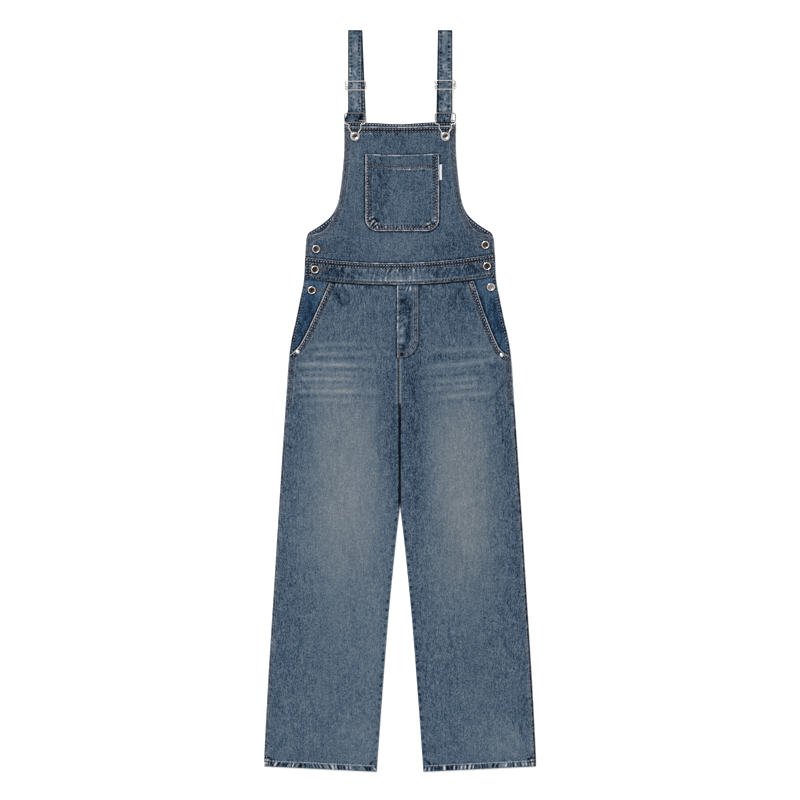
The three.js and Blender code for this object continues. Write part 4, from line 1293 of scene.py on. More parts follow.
def leg_cloth(name):
    """A front leg with all its seams, and the shadows of the fly and the waistband."""
    sign = SIGN[name]
    left = sign < 0
    outer = outer_out(name)
    end = mouth_end[name]
    low = hem_up(HEM_SPAN[1])
    side = down_edge(side_out, end, low, sign)
    hem = cross_edge(hem_line, *((-HEM_SPAN[1], -HEM_SPAN[0]) if left else HEM_SPAN))
    waist = cross_edge(leg_top, *((-1.0, -146.0) if left else (MOUTH_START, 1.0)))
    middle = inner_edge(waist_bottom(0.0), CROTCH_UP, sign)
    mouth = down_edge(outer, waist_bottom(sign * MOUTH_START), end, sign)
    seed = 41 if left else 71
    middle_look = {"pitch": 8.0, "reach": 4.0, "lift": 0.2, "seed": seed + 6}
    if left:
        middle_look |= {
            "rows": (3.2,), "rim": 1.4, "row_dark": 0.78, "ridge": 0.36, "centre": 9.0, "tone": 0.1,
            "shades": (-1.8,), "band": 0.0,
        }
    else:
        middle_look |= {"light": 0.34, "rim": 2.6}
    seams = [
        Seam(
            down_edge(side_out, end, HIP_END, sign), rows=(5.6, 10.8), light=0.24, rim=3.6, row_dark=0.62,
            ridge=0.16, pitch=8.0, slant=0.3 * sign, centre=3.6, reach=3.0, tone=0.2, lift=0.3,
            seed=seed + 30, shades=(-1.0, -1.3), band=0.0, spacing=0.68,
        ),
        Seam(
            down_edge(side_out, HIP_END, low, sign), rows=(5.2,), light=0.12 if left else -0.4,
            rim=2.0 if left else 3.4, row_dark=0.34 if left else 0.1, ridge=0.12, pitch=7.4,
            slant=0.7 * sign, centre=3.4, reach=2.6, tone=0.4, seed=seed, shades=(-0.7,), band=0.0,
            spacing=0.68,
        ),
        Seam(
            shifted(side, 4.6), light=0.0, pitch=11.5, slant=0.8 * sign, centre=3.0, tone=0.14, lift=0.3,
            seed=seed + 1,
        ),
        Seam(
            inner_edge(SLIT_END, hem_up(HEM_SPAN[0]), sign), light=0.04, rim=1.5, pitch=11.6,
            slant=-0.4 * sign, centre=2.6, reach=2.8, tone=0.18, lift=0.5, seed=seed + 3,
        ),
        # The gap between the legs: a wide dark rim down the inner edge as painted shade, wider on the left
        # leg.
        Seam(
            inner_edge(CROTCH_UP, SLIT_END, sign), light=-1.0, rim=3.7 if left else 1.8, pitch=11.6,
            centre=6.0, reach=3.0, lift=0.2, seed=seed + 4,
        ),
        Seam(middle, **middle_look),
        Seam(
            mouth, rows=(5.0, 10.2), light=0.58, rim=1.8, row_dark=0.56, pitch=6.4, slant=0.5 * sign,
            centre=7.6, reach=3.2, tone=0.36, seed=seed + 9, shades=(0.2, -1.2), band=0.2,
        ),
        Seam(
            hem, rows=(12.0,), light=0.0, rim=1.2, row_dark=-0.36, ridge=-0.1, pitch=7.8,
            slant=-0.12 * sign, centre=5.6, reach=4.8, tone=0.9, lift=0.8, seed=seed + 12, shades=(0.6,),
            band=0.1,
        ),
        Seam(hem, light=0.0, pitch=8.5, centre=15.0, reach=3.0, tone=0.16, lift=0.0, seed=seed + 13),
        shadow(fly_side(), 0.6, seed + 14),
        Seam(
            waist, light=0.0, pitch=5.4, slant=0.3, centre=6.0, reach=4.4, tone=0.42, seed=seed + 15,
        ),
        shadow(band_foot_edge(), 0.8, seed + 18),
        shadow(fly_outline(), 0.25, seed + 20),
    ]

    def wall(x, y):
        return WALL + hem_add(HEM_DEPTH, y - hem_line(x))

    return Cloth(
        f"leg_front_{name}", sided(sign, outer), sided(sign, inner_out), leg_top, hem_line, leg_under(name),
        wall, leg_tone, seams,
    )


def waistband_cloth():
    """The front waistband, sewn all round, with its puckered tone and the rings of its buttons."""
    sides = {
        "rows": (4.6, 11.0), "light": 0.15, "tone": 0.3, "pitch": 6.4, "centre": 8.0, "slant": 0.1,
        "shades": (0.1, -0.4),
    }
    seams = [
        Seam(
            band_top_edge(), rows=(5.0, 11.4), light=0.46, row_dark=0.54, rim=2.0, pitch=6.4, slant=0.1,
            centre=16.5, reach=6.0, tone=0.4, lift=0.6, seed=91, shades=(0.25, -0.2), band=0.26,
        ),
        Seam(
            cross_edge(waist_bottom, *BAND_BOTTOM[::-1]), rows=(4.4,), light=0.34, row_dark=0.62,
            ridge=0.3, rim=2.2, pitch=7.4, slant=-0.2, centre=14.0, reach=7.0, tone=0.26, lift=0.6,
            seed=95, shades=(-0.9,), band=0.0,
        ),
    ]
    for sign, k, seed in ((-1, 1, 97), (1, 0, 99)):
        edge = down_edge(side_out, waist_top(BAND_TOP[k]), waist_bottom(BAND_BOTTOM[k]), sign)
        seams.append(Seam(edge, seed=seed, **sides))

    def tone(x, y):
        share = (y - waist_bottom(x)) / (waist_top(x) - waist_bottom(x))
        patch = 0.12 * bell(np.abs(x + 8) - 115, 35) * bell(share - 0.4, 0.35)
        worn = 0.17 * bell(x - 6, 80) * bell(share - 0.24, 0.3) + 0.05 * bell(x - 6, 90)
        worn = worn + 0.13 * mottle((x + 0.5 * y) / 2.6, y / 4.4, 94)
        ends = 0.05 * ease(90.0, 150.0, np.abs(x))
        # Rings of painted shadow round the waistband's buttons
        rings = button_shadow_ring(x, y, ["side_button_left_2", "side_button_right_2"])
        return 0.43 - patch + worn - 1.6 * ends + 0.08 * mottle(x / 7.0, y / 8.0, 93) + rings

    return Cloth(
        "waistband_front", sided(-1, side_out), side_out, waist_top, waist_bottom, under,
        even(WAISTBAND_WALL), tone, seams,
    )


def facing_cloth(name):
    """A hip pocket facing, sewn at the side, with the shadows of the pocket mouth and the waistband."""
    sign = SIGN[name]
    outer = outer_out(name)
    side = down_edge(side_out, waist_bottom(sign * 202.0), FACING_END, sign)
    mouth = down_edge(outer, waist_bottom(sign * MOUTH_START), mouth_end[name], sign)
    seams = [
        Seam(
            side, rows=(4.8,), light=0.1, row_dark=0.3, rim=2.0, pitch=6.4, slant=0.4 * sign, centre=4.0,
            reach=4.0, tone=0.5, seed=111, shades=(-0.5,), band=0.2,
        ),
        shadow(mouth, 0.6, 115),
        shadow(band_foot_edge(), 0.3, 117),
    ]

    def tone(x, y):
        from_mouth = np.abs(x) - outer(y)
        cloud = 0.13 * mottle(x / 9.0, y / 22.0, 113) + 0.08 * mottle(x / 3.4, y / 9.0, 114)
        pale = 0.18 * ease(196.0, 236.0, y) + 0.09 * bell(from_mouth - 12.0, 7.0)
        # With a ring of painted shadow round the button
        return 0.41 + pale + cloud + button_shadow_ring(x, y, [f"side_button_{name}_3"])

    return Cloth(
        f"facing_{name}", sided(sign, side_out), lambda y: sign * (outer(y) - FACING_UNDERLAP), leg_top,
        even(FACING_END), under, even(WALL), tone, seams,
    )


def pocket_top(x):
    """The bib pocket's upper edge, bowed by the square of x."""
    return POCKET["top"] + POCKET["bow"] * x * x


def round_corner(shape, angle, sign):
    """Points of the quarter circle at a bottom corner of a shape, on its left or right side."""
    r = shape["radius"]
    across = r * np.cos(angle) if sign < 0 else r * np.sin(angle)
    rise = r * np.sin(angle) if sign < 0 else r * np.cos(angle)
    x = shape["left"] + r - across if sign < 0 else shape["right"] - r + across
    return np.stack([x, shape["bottom"] + r - rise], 1)


def pocket_outline():
    """Down the left side, round the bottom corners and up the right side of the bib pocket."""
    angle = np.linspace(0.0, np.pi / 2, 24)
    first, last = ([[POCKET[side], POCKET["top"] + 1]] for side in ("left", "right"))
    corners = [round_corner(POCKET, angle, sign) for sign in (-1, 1)]
    return resample(np.concatenate([first, *corners, last]))


def pocket_cloth():
    """The bib pocket, full at its middle, sewn round its outline and across its top hem."""
    inset = POCKET["radius"] * 0.92
    middle = (POCKET["left"] + POCKET["right"]) / 2
    half = (POCKET["right"] - POCKET["left"]) / 2
    tall = POCKET["top"] - POCKET["bottom"]

    def bottom(x, y):
        across = np.maximum(0.0, 1 - ((x - middle) / half) ** 2)
        along = np.maximum(0.0, 1 - ((y - POCKET["bottom"] - tall / 2) / (tall / 2)) ** 4)
        return under(x, y) + WALL + GAP + 0.25 + POCKET_LOFT * across * along

    def wall(x, y):
        return WALL + 0.6 * hem_add(POCKET_HEM_DEPTH, pocket_top(x) - y)

    hem = cross_edge(lambda x: pocket_top(x) - 22.0, POCKET["right"] - 12, POCKET["left"] + 12)
    seams = [
        Seam(
            pocket_outline(), rows=(4.6, 11.4), light=0.58, rim=2.1, row_dark=0.52, pitch=6.4, slant=0.2,
            centre=9.0, reach=4.6, tone=0.22, lift=0.45, seed=131, shades=(0.0, -0.9),
            swell=((155, 16, 4.0), (298, 16, 4.0), (226, 60, 1.4)),
        ),
        Seam(
            cross_edge(pocket_top, POCKET["right"], POCKET["left"]), light=0.5, rim=2.0, pitch=12.0,
            centre=14.0, reach=9.0, tone=0.08, lift=0.25, seed=135,
        ),
        Seam(
            hem, rows=(0.0, 4.6), light=0.0, row_dark=0.34, ridge=0.12, pitch=7.0, slant=0.2, centre=8.0,
            reach=4.0, tone=0.2, lift=0.3, seed=137, shades=(-1.0, -0.8), spacing=0.8,
        ),
    ]
    return Cloth(
        "pocket", lambda y: POCKET["left"] + np.minimum(inset, corner_inset(POCKET, y)),
        lambda y: POCKET["right"] - np.minimum(inset, corner_inset(POCKET, y)), pocket_top,
        even(POCKET["bottom"]), bottom, wall, plain_tone(0.49, 139, fades=POCKET_FADES, marks=POCKET_MARKS),
        seams,
    )


def legs_top(x, y):
    """The higher of the two front legs' outer faces."""
    return np.maximum(leg_under("left")(x, y), leg_under("right")(x, y)) + WALL


def fly_side():
    """Down the fly's straight edge."""
    return resample(np.array([[FLY["left"], WAIST_BOTTOM[0]], [FLY["left"], FLY["bottom"]]]))


def fly_outline():
    """Up the fly's J-shaped edge, from its foot at the middle to the waistband."""
    arc = round_corner(FLY, np.linspace(0.08, np.pi / 2, 24), 1)
    return resample(np.concatenate([arc, [[FLY["right"], WAIST_BOTTOM[0]]]]))


def fly_cloth():
    """The fly, with its J-shaped rows, its worn straight edge and the waistband's shadow."""
    inset = FLY["radius"] * 0.95
    seams = [
        Seam(
            fly_outline(), rows=(2.4, 10.6), light=0.06, row_dark=0.32, ridge=0.12, rim=1.3, pitch=7.5,
            slant=0.1, tone=0.2, lift=0.3, seed=151, shades=(-0.5, -0.7), band=0.0, spacing=0.68,
        ),
        Seam(fly_side(), light=0.5, rim=1.9, pitch=8.0, centre=9.0, reach=6.0, tone=0.3, seed=155),
        Seam(
            cross_edge(leg_top, FLY["right"], FLY["left"]), light=0.0, pitch=6.0, slant=0.1, centre=8.0,
            reach=7.0, tone=0.4, lift=0.3, seed=156,
        ),
        shadow(cross_edge(waist_bottom, 60.0, -60.0)[::-1], 0.34, 157),
    ]

    def tone(x, y):
        value = 0.48 + 0.08 * mottle(x / 5.0, y / 9.0, 157)
        for patch_x, patch_up, wide, tall, strength in FLY_PATCHES:
            value = value + strength * np.exp(-(((x - patch_x) / wide) ** 2) - ((y - patch_up) / tall) ** 2)
        return value

    return Cloth(
        "fly_front", even(FLY["left"]), lambda y: FLY["right"] - np.minimum(inset, corner_inset(FLY, y)),
        leg_top, even(FLY["bottom"]), lambda x, y: legs_top(x, y) + GAP, even(FLY["wall"]), tone, seams,
    )


def back_cloths():
    """The four flat pieces of the back, with the rims and stitches of the bib that show."""
    top, foot = BACK_WAIST
    armhole = {"rows": (4.5,), "light": 0.1, "row_dark": 0.1, "tone": 0.08, "pitch": 8.0}
    bib_seams = [
        Seam(down_edge(back_out, back_top(sign * BIB_HALF) - 1, 340.0, sign), seed=seed, **armhole)
        for sign, seed in ((-1, 171), (1, 173))
    ]
    bib_top = cross_edge(back_top, BIB_HALF, -BIB_HALF)
    bib_seams.append(Seam(bib_top, rows=(3.4,), light=0.15, row_dark=0.1, tone=0.08, seed=175))
    # The back bib and waistband show only as rims beside the front: their dark tone is partly the turned
    # hem's inner face and partly painted shade.
    flat, wall, dark, plain = even(0.0), even(WALL), plain_tone(0.16, 177), plain_tone(0.42, 179)
    pieces = {
        "back_bib": Cloth(
            "bib_back", sided(-1, back_out), back_out, back_top, even(top + GAP), flat, wall, dark, bib_seams
        ),
        "back_waistband": Cloth(
            "waistband_back", sided(-1, side_out), side_out, even(top), even(foot), flat, wall, dark
        ),
    }
    for name, sign in SIGN.items():
        edges = (sided(sign, side_out), sided(sign, inner_out), even(foot - GAP), hem_line)
        pieces[f"back_leg_{name}"] = Cloth(f"leg_back_{name}", *edges, flat, wall, plain)
    return pieces


# Straps


def strap_line(strap, start):
    """Middle line of a strap, points of (x, up, height).

    It goes up from the back bib, over the fold at the top, down through the slider, round the buckle's
    bar and back up behind itself to the slider's bar.
    """
    low, second, third = STRAP_LEVELS
    slider, bar = strap["slider"], BUCKLE_BAR
    over = SLIDER_BAR["high"] + SLIDER_BAR["radius"] + GAP + STRAP_WALL / 2
    t = np.linspace(0.0, 1.0, STRAP_STEPS)

    def rise(up_from, up_to, z_from, z_to):
        return np.stack([mix(up_from, up_to, t), mix(z_from, z_to, ease(0.0, 1.0, t))], axis=1)

    def arc(up, high, radius, begin, stop):
        angle = mix(begin, stop, t)
        return np.stack([up + radius * np.cos(angle), high + radius * np.sin(angle)], axis=1)

    turn = (second - low) / 2
    bar_turn = bar["high"] - second
    quarter = math.pi / 2
    back = rise(start, STRAP_TOP_UP, low, low)
    front = [
        arc(STRAP_TOP_UP, (low + second) / 2, turn, -quarter, quarter),
        rise(STRAP_TOP_UP, slider + 34, second, second),
        rise(slider + 34, slider + 9.1, second, 5.5),
        rise(slider + 9.1, slider, 5.5, over),
        rise(slider, slider - 9.1, over, 5.5),
        rise(slider - 9.1, slider - 22, 5.5, third),
        rise(slider - 22, bar["up"] + 19, third, third),
        rise(bar["up"] + 19, bar["up"], third, bar["high"] + bar_turn),
        arc(bar["up"], bar["high"], bar_turn, quarter, 3 * quarter),
        rise(bar["up"], slider, second, second),
        arc(slider, SLIDER_BAR["high"], SLIDER_BAR["high"] - second, -quarter, 0.1),
    ]
    line = np.concatenate([back] + front)
    x = np.full(len(line), strap["x"])
    x[: len(back)] += strap["skew"] * (STRAP_TOP_UP - back[:, 0]) / (STRAP_TOP_UP - start)
    at_bar = len(back) + 7 * STRAP_STEPS
    behind = np.arange(len(line)) >= at_bar
    x = x - strap["bunch"] * bell(line[:, 0] - BUCKLE_BAR["up"], 13.0) * behind
    points = np.column_stack([x, line])
    keep = np.concatenate([[True], np.linalg.norm(np.diff(points, axis=0), axis=1) > 1e-6])
    return resample(points[keep], 1.3)


def strap_piece(name, settings):
    """A strap as a flattened tube along its line, with stitched edges and its two rows of stitches."""
    strap = STRAPS[name]
    foot = strap["x"] + strap["skew"]
    start = max(back_top(foot - STRAP_HALF), back_top(foot + STRAP_HALF)) + 2 * GAP
    line = strap_line(strap, start)
    run = running(line)
    along = directions(line)
    level = unit(np.stack([-along[:, 2], along[:, 1]], axis=1))
    normal = np.column_stack([np.zeros(len(line)), level])
    face = np.concatenate([[-15, -14.7, -14.1], np.linspace(-13.2, 13.2, 25), [14.1, 14.7, 15]])
    across = np.concatenate([face, face[-2:0:-1]])
    side = np.concatenate([np.ones(len(face)), -np.ones(len(face) - 2)])
    side[0] = side[len(face) - 1] = 0.0
    rim = STRAP_HALF - np.abs(across)
    half = STRAP_WALL / 2
    swell = half * np.sqrt(1 - (1 - np.clip(rim / 1.4, 0, 1)) ** 2)
    seed = 201 if name == "left" else 231
    runs, edge = np.meshgrid(run, rim, indexing="ij")
    left_side = np.sign(across)[None, :]
    phase = runs / 8.5 + left_side * edge / 11.0 + 0.8 * wander(runs / 24.0, seed)
    pucker = wave(phase) * 0.5 + 0.8 * wander(runs / 3.8 + left_side * edge / 7.0, seed + 1)
    window = bell(edge - 6.0, 4.0)
    relief = (0.16 * pucker * window - 0.22 * bell(edge - STRAP_ROW, 1.1)) * (edge > 0.4)
    lift = (swell[None, :] + relief) * side[None, :]
    points = line[:, None, :] + lift[:, :, None] * normal[:, None, :]
    points = points + across[None, :, None] * np.array([1.0, 0.0, 0.0])
    blotch = mottle(runs / 5.4, across[None, :] / 3.4 + 0.0 * runs, seed + 2)
    broad = mottle(runs / 15.0, across[None, :] / 9.0 + 0.0 * runs, seed + 4)
    spots = ease(-0.2, 0.8, wave(runs / 7.4 + 0.5 * wander(runs / 20.0, seed + 3) + 0.15 * left_side))
    tone = 0.68 + 0.16 * pucker * window + 0.24 * blotch + 0.12 * broad
    tone = tone - 0.8 * spots * (0.8 + 0.5 * broad) * bell(edge - 6.4, 2.2) + 0.2 * bell(edge - 3.8, 1.1)
    # Dark rims of painted shade where the edges roll away, a little less dark on the inner side
    inner = across[None, :] * -SIGN[name] > 0
    tone = tone - mix(0.66, 0.56, inner) * (1 - ease(2.0, 3.2, edge))
    # The lowest layer, lying under the rest, is darker as painted shade but for a pale line at its stitch
    # row; near the buckle's bar the strap is darker as painted shade, with stripes of painted light and shade
    # for the bunched cloth; it is also darker just before the turn at the top.
    lowest = line[:, 2] < STRAP_LEVELS[0] + 0.1
    near_bar = bell(np.maximum(line[:, 1] - BUCKLE_BAR["up"] - 16.0, 0.0), 5.0)
    stripes = 0.25 * np.cos(2 * np.pi * across[None, :] / 4.4) * near_bar[:, None]
    lower_layer_shade = 0.8 * bell(edge - STRAP_ROW, 2.2) - 0.5
    fold = ease(STRAP_TOP_UP - 2.4, STRAP_TOP_UP - 0.6, line[:, 1])
    tone = tone + lower_layer_shade * lowest[:, None] - 0.24 * near_bar[:, None] - 0.4 * fold[:, None] + stripes
    count, ring = points.shape[:2]
    faces = [lattice_faces(count, ring, closed_columns=True)]
    ends = np.arange(ring)
    faces.append(np.stack([ends[::-1], ends + (count - 1) * ring]))
    thing = mesh_object(f"strap_cloth_{name}", points.reshape(-1, 3), faces, tone=tone, warm=0.0 * tone)
    dress(thing, denim_material(settings), "denim", f"strap_{name}")
    sewn = (line + normal * (half + 0.1))[run > run[-1] * 0.02]
    row_x = STRAP_HALF - STRAP_ROW
    rows = [strap_stitches(sewn + [x, 0, 0], settings) for x in (-row_x, row_x)]
    centres, along, normals = (np.concatenate(parts) for parts in zip(*rows))
    shade = np.full(len(centres), -1.5)
    stitches(f"strap_stitches_{name}", centres, along, shade, settings, seed + 5, normals)


def strap_stitches(line, settings):
    """Stitches along a line in space: centres, directions and normals square to X."""
    run = running(line)
    pitch = settings.stitch_pitch / MM
    at = np.arange(pitch, run[-1] - pitch, pitch)
    half = settings.stitch_length / MM / 2
    start, stop = (
        np.stack([np.interp(at + move, run, line[:, k]) for k in range(3)], 1) for move in (-half, half)
    )
    along = unit(stop - start)
    return (start + stop) / 2, along, np.cross([1.0, 0.0, 0.0], along)


def tab_piece(settings):
    """The tab, tape folded at its outer edge: two plies along X round a small turn, with a wavy end."""
    left, right, top, bottom, middle = (TAB[key] for key in ("left", "right", "top", "bottom", "middle"))
    low = float(np.mean(under(np.array([left, right]), np.full(2, middle)))) + WALL + GAP + 0.4
    ply, turn = 0.25, 0.38
    t = np.linspace(0.0, 1.0, 9)
    angle = mix(-np.pi / 2, np.pi / 2, np.linspace(0.0, 1.0, 13))
    reach = right - turn - ply
    centre = np.concatenate([
        np.column_stack([mix(left, reach, t[:-1]), np.full(8, low)]),
        np.column_stack([reach + turn * np.cos(angle), low + turn + turn * np.sin(angle)]),
        np.column_stack([mix(reach, left, t[1:]), np.full(8, low + 2 * turn)]),
    ])
    outline = np.concatenate([shifted(centre, -ply), shifted(centre, ply)[::-1]])
    y = np.concatenate([[bottom], np.linspace(bottom + 0.4, top - 0.4, 24), [top]])
    points = np.stack([
        outline[None, :, 0] + 0.25 * np.sin(y / 6.0)[:, None], y[:, None] + 0.0 * outline[None, :, 0],
        outline[None, :, 1] + 0.1 * np.sin(y / 9.0)[:, None],
    ], axis=-1)
    half = len(centre)
    k = np.arange(half - 1)
    end = np.stack([k, k + 1, 2 * half - 2 - k, 2 * half - 1 - k], axis=1)
    skin = lattice_faces(len(y), 2 * half, closed_columns=True)
    faces = [skin, end[:, ::-1], end + (len(y) - 1) * 2 * half]
    # Painted shadow on the tab near the pocket's seam
    tucked = 1 - ease(left + 0.5, left + 2.6, points[..., 0])
    thing = mesh_object("tab", points.reshape(-1, 3), faces, tucked=tucked)
    dress(thing, tape_material(settings), "white_tape", "pocket_tab")


# Wires and buttons


def centre_of(node):
    """The middle of a node's box in millimetres, with its lowest and highest point."""
    low, high = (np.array(corner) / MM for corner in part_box(node))
    return (low + high) / 2, low[2], high[2]


def turned_place(points, x, up, turn):
    """Points turned about the upright by an angle and moved to x and up."""
    cos, sin = math.cos(turn), math.sin(turn)
    right, ahead, high = points.T
    return np.column_stack([x + cos * right - sin * ahead, up + sin * right + cos * ahead, high])


def join_shapes(shapes):
    """Several shapes of points and faces as one list of each."""
    points, faces, first = [], [], 0
    for shape_points, shape_faces in shapes:
        points.append(shape_points)
        faces += [part + first for part in shape_faces]
        first += len(shape_points)
    return np.concatenate(points), faces


def level_bar(half, radius, up, high):
    """A round bar along X with rounded ends."""
    x = np.array([-half, -half + 0.15, -half + 0.6, half - 0.6, half - 0.15, half])
    share = np.array([0.3, 0.75, 1.0, 1.0, 0.75, 0.3])[:, None]
    sides = 16
    angle, ends = circle(sides), np.arange(sides)
    rings = np.stack([
        np.repeat(x[:, None], sides, 1), up + radius * share * np.cos(angle),
        high + radius * share * np.sin(angle),
    ], axis=-1).reshape(-1, 3)
    caps = np.stack([ends[::-1], ends + (len(x) - 1) * sides])
    return rings, [lattice_faces(len(x), sides, closed_columns=True), caps]


def wire_piece(kind, side, shapes, dull, place, settings):
    """A wire fitting joined from its shapes, given darker metal as painted shade where said, and set in place
    of its node.
    """
    points, faces = join_shapes(shapes)
    points, metal_shade_share = turned_place(points, *place), dull(points[:, 0], points[:, 1])
    thing = mesh_object(f"{kind}_wire_{side}", points, faces, dull=metal_shade_share)
    dress(thing, wire_material(settings), "nickel_wire", f"{kind}_{side}")


def slider_shapes():
    """The slider: a loop mirrored from its quarter both ways, and its middle bar."""
    quarter = np.array(SLIDER_QUARTER, dtype=float)
    loop = np.concatenate([
        quarter, quarter[::-1] * [1, -1, 1], quarter * [-1, -1, 1], quarter[::-1] * [-1, 1, 1],
    ])
    wire = swept(closed_curve(loop, 200), SLIDER_BAR["radius"])
    return [wire, level_bar(SLIDER_BAR["half"], SLIDER_BAR["radius"], 0.0, SLIDER_BAR["high"])]


def buckle_shapes():
    """The buckle: a loop mirrored from its half, and the bar that holds the strap."""
    half = np.array(BUCKLE_HALF, dtype=float)
    loop = np.concatenate([half, half[-2::-1] * [-1, 1, 1]])
    wire = swept(closed_curve(loop, 320), BUCKLE_BAR["radius"])
    bar = level_bar(21.2, BUCKLE_BAR["radius"], BUCKLE_BAR["up"] - BUTTON_UP, BUCKLE_BAR["high"])
    return [wire, bar]


def slider_shade(x, up):
    """The slider's end loops and middle bar get darker metal than its two long bars, as painted shade and
    dark reflection.
    """
    return np.maximum(0.75 * ease(17.0, 20.0, np.abs(x)), 0.6 * (np.abs(up) < 5.0))


def buckle_shade(x, up):
    """The buckle's upper frame gets darker metal than the loop that holds the button, as painted shade."""
    return 0.85 * ease(28.0, 34.0, up)


def button_piece(node, profile, settings, stem=0.0, wide=1.0, turn=0.0, worn=1.0):
    """A turned button or rivet on its node's axis, with a stem below when it holds a wire.

    The copper shows as an oval of the share wide across, turned about the axis, as strongly as worn says.
    """
    middle, _, high = centre_of(node)
    table = list(profile)
    if stem > 0:
        table = table[:-1] + [(3.0, 0.0), (3.0, -stem)]
    points, faces = turned(table)
    along = points[:, 0] * math.cos(turn) + points[:, 1] * math.sin(turn)
    across = (points[:, 1] * math.cos(turn) - points[:, 0] * math.sin(turn)) / wide
    copper = 1 - ease(COPPER_RADIUS - 0.6, COPPER_RADIUS + 0.2, np.hypot(along, across))
    inner = worn * copper * (points[:, 2] > 0.5)
    top = max(height for _, height in profile)
    points = points + [middle[0], middle[1], high - top]
    thing = mesh_object(f"{node}_turned", points, faces, inner=inner)
    dress(thing, button_material(settings), "button_metal", node)


def buttonhole(node, settings, number):
    """A worked slit beside a side button: short stitches across a narrow oval, towards the middle."""
    middle, low, _ = centre_of(node)
    toward = -math.copysign(1.0, middle[0])
    angle = circle(44)
    long, wide, shift = (9.5, 1.7, 13.0) if toward > 0 else (7.0, 2.0, 8.0)
    x = middle[0] + toward * shift + long * np.cos(angle)
    y = middle[1] + wide * np.sin(angle)
    centres = np.column_stack([x, y, np.full(len(x), low + 0.1)])
    outward = unit(np.column_stack([np.cos(angle) * wide, np.sin(angle) * long, 0 * angle]))
    shade = np.full(len(x), -1.35)
    threads(f"buttonhole_{number}", (2.6, 1.2, 1.0), centres, outward, shade, settings, (0.0, 0.0, 1.0))


# Settings and operators


def a_length(name, description, default, least):
    """A length that a user may change."""
    return bpy.props.FloatProperty(
        name=name, description=description, default=default, min=least, unit="LENGTH")


def a_strength(name, description, default, **limits):
    """A strength that a user may change."""
    return bpy.props.FloatProperty(name=name, description=description, default=default, min=0.0, **limits)


def a_colour(name, description, *default):
    """A colour that a user may change."""
    return bpy.props.FloatVectorProperty(
        name=name, description=description, default=default, min=0.0, max=1.0, size=3, subtype="COLOR")


class DungareesSettings(bpy.types.PropertyGroup):
    """Sizes and colours that a user may change."""

    stitch_length: a_length("Stitch length", "Length of one topstitch", 0.0037, 0.001)
    stitch_pitch: a_length("Stitch pitch", "Distance from one stitch to the next", 0.0060, 0.002)
    thread: a_length("Thread", "Thickness of the topstitching thread", 0.0016, 0.0002)
    grain: a_strength("Grain", "Strength of the cloth's slubs and speckle", 1.03, max=2.0, subtype="FACTOR")
    thread_dark: a_colour("Thread, dark", "Darker colour of the thread", 0.105, 0.085, 0.085)
    thread_light: a_colour("Thread, pale", "Paler colour of the thread", 0.66, 0.66, 0.72)
    metal: a_colour("Metal", "Colour of wires and button rims", 0.90, 0.88, 0.87)
    # The darker wire colour: painted shade and dark reflection on some parts, and random darker spots
    shade_and_spot_metal: a_colour("Dull metal", "Colour of the wires' dull parts", 0.22, 0.21, 0.21)
    copper: a_colour("Copper", "Colour of the buttons' sunk middles", 0.04, 0.022, 0.016)
    floor: a_colour("Floor", "Colour of the floor", 0.93, 0.93, 0.93)
    sun: a_strength("Key light", "Strength of the soft key light", 1.75)
    sky: a_strength("Fill light", "Strength of the even light from all round", 1.0)
    frame_height: a_length("View", "Height of what the camera sees", 1.68, 0.5)


class PieceOperator:
    """What the operators share: they read the settings and finish."""

    bl_options = {"REGISTER", "UNDO"}

    def execute(self, context):
        self.make(context.scene.dungarees)
        return {"FINISHED"}


class DUNGAREES_OT_back(PieceOperator, bpy.types.Operator):
    """Back bib, waistband and legs, which lie flat on the surface"""

    bl_idname = "dungarees.back"
    bl_label = "Back"

    def make(self, settings):
        steps = {
            "back_bib": ((400.0, 1.6, 9.0, 16.0), (290.0, 1.6, 4.0, 10.0)),
            "back_waistband": ((240.0, 3.0, 16.0, 8.0), (44.0, 3.0, 10.0, 8.0)),
        }
        leg_steps = ((240.0, 3.0, 16.0, 8.0), (1000.0, 3.0, 16.0, 8.0))
        for node, cloth in back_cloths().items():
            sewing = ("stitches_bib_back", 301) if node == "back_bib" else None
            finish_panel(cloth, *steps.get(node, leg_steps), node, ["floor"], settings, sewing)


class DUNGAREES_OT_bib(PieceOperator, bpy.types.Operator):
    """Front bib with its turned top and armholes"""

    bl_idname = "dungarees.bib"
    bl_label = "Bib"

    def make(self, settings):
        across, along = (300.0, 1.2, 3.6, 17.0, (68.0, 232.0)), (287.0, 1.2, 2.4, 18.0, (60.0, 219.0))
        sewing = ("stitches_bib", 311)
        finish_panel(bib_cloth(), across, along, "front_bib", ["bib_back"], settings, sewing)


class DUNGAREES_OT_legs(PieceOperator, bpy.types.Operator):
    """Front legs with their hems, whiskers and fades"""

    bl_idname = "dungarees.legs"
    bl_label = "Legs"

    def make(self, settings):
        across, along = (237.0, 1.3, 2.3, 15.0, (186.0,)), (1024.0, 1.2, 2.6, 16.0)
        for name, sign in SIGN.items():
            cloth = leg_cloth(name)
            rests_on, sewing = [f"leg_back_{name}"], (f"stitches_leg_{name}", 321)
            finish_panel(cloth, across, along, f"front_leg_{name}", rests_on, settings, sewing)
            place = (sign * MOUTH_START, 240.0, sign * -1.15)
            bartack(f"bartack_mouth_{name}", *place, 14.0, cloth, settings, 325)


class DUNGAREES_OT_waistband(PieceOperator, bpy.types.Operator):
    """Front waistband"""

    bl_idname = "dungarees.waistband"
    bl_label = "Waistband"

    def make(self, settings):
        across, along = (400.0, 1.4, 2.0, 14.0), (45.0, 1.0, 1.0, 14.0)
        rests_on, sewing = ["waistband_back"], ("stitches_waistband", 331)
        finish_panel(waistband_cloth(), across, along, "front_waistband", rests_on, settings, sewing)


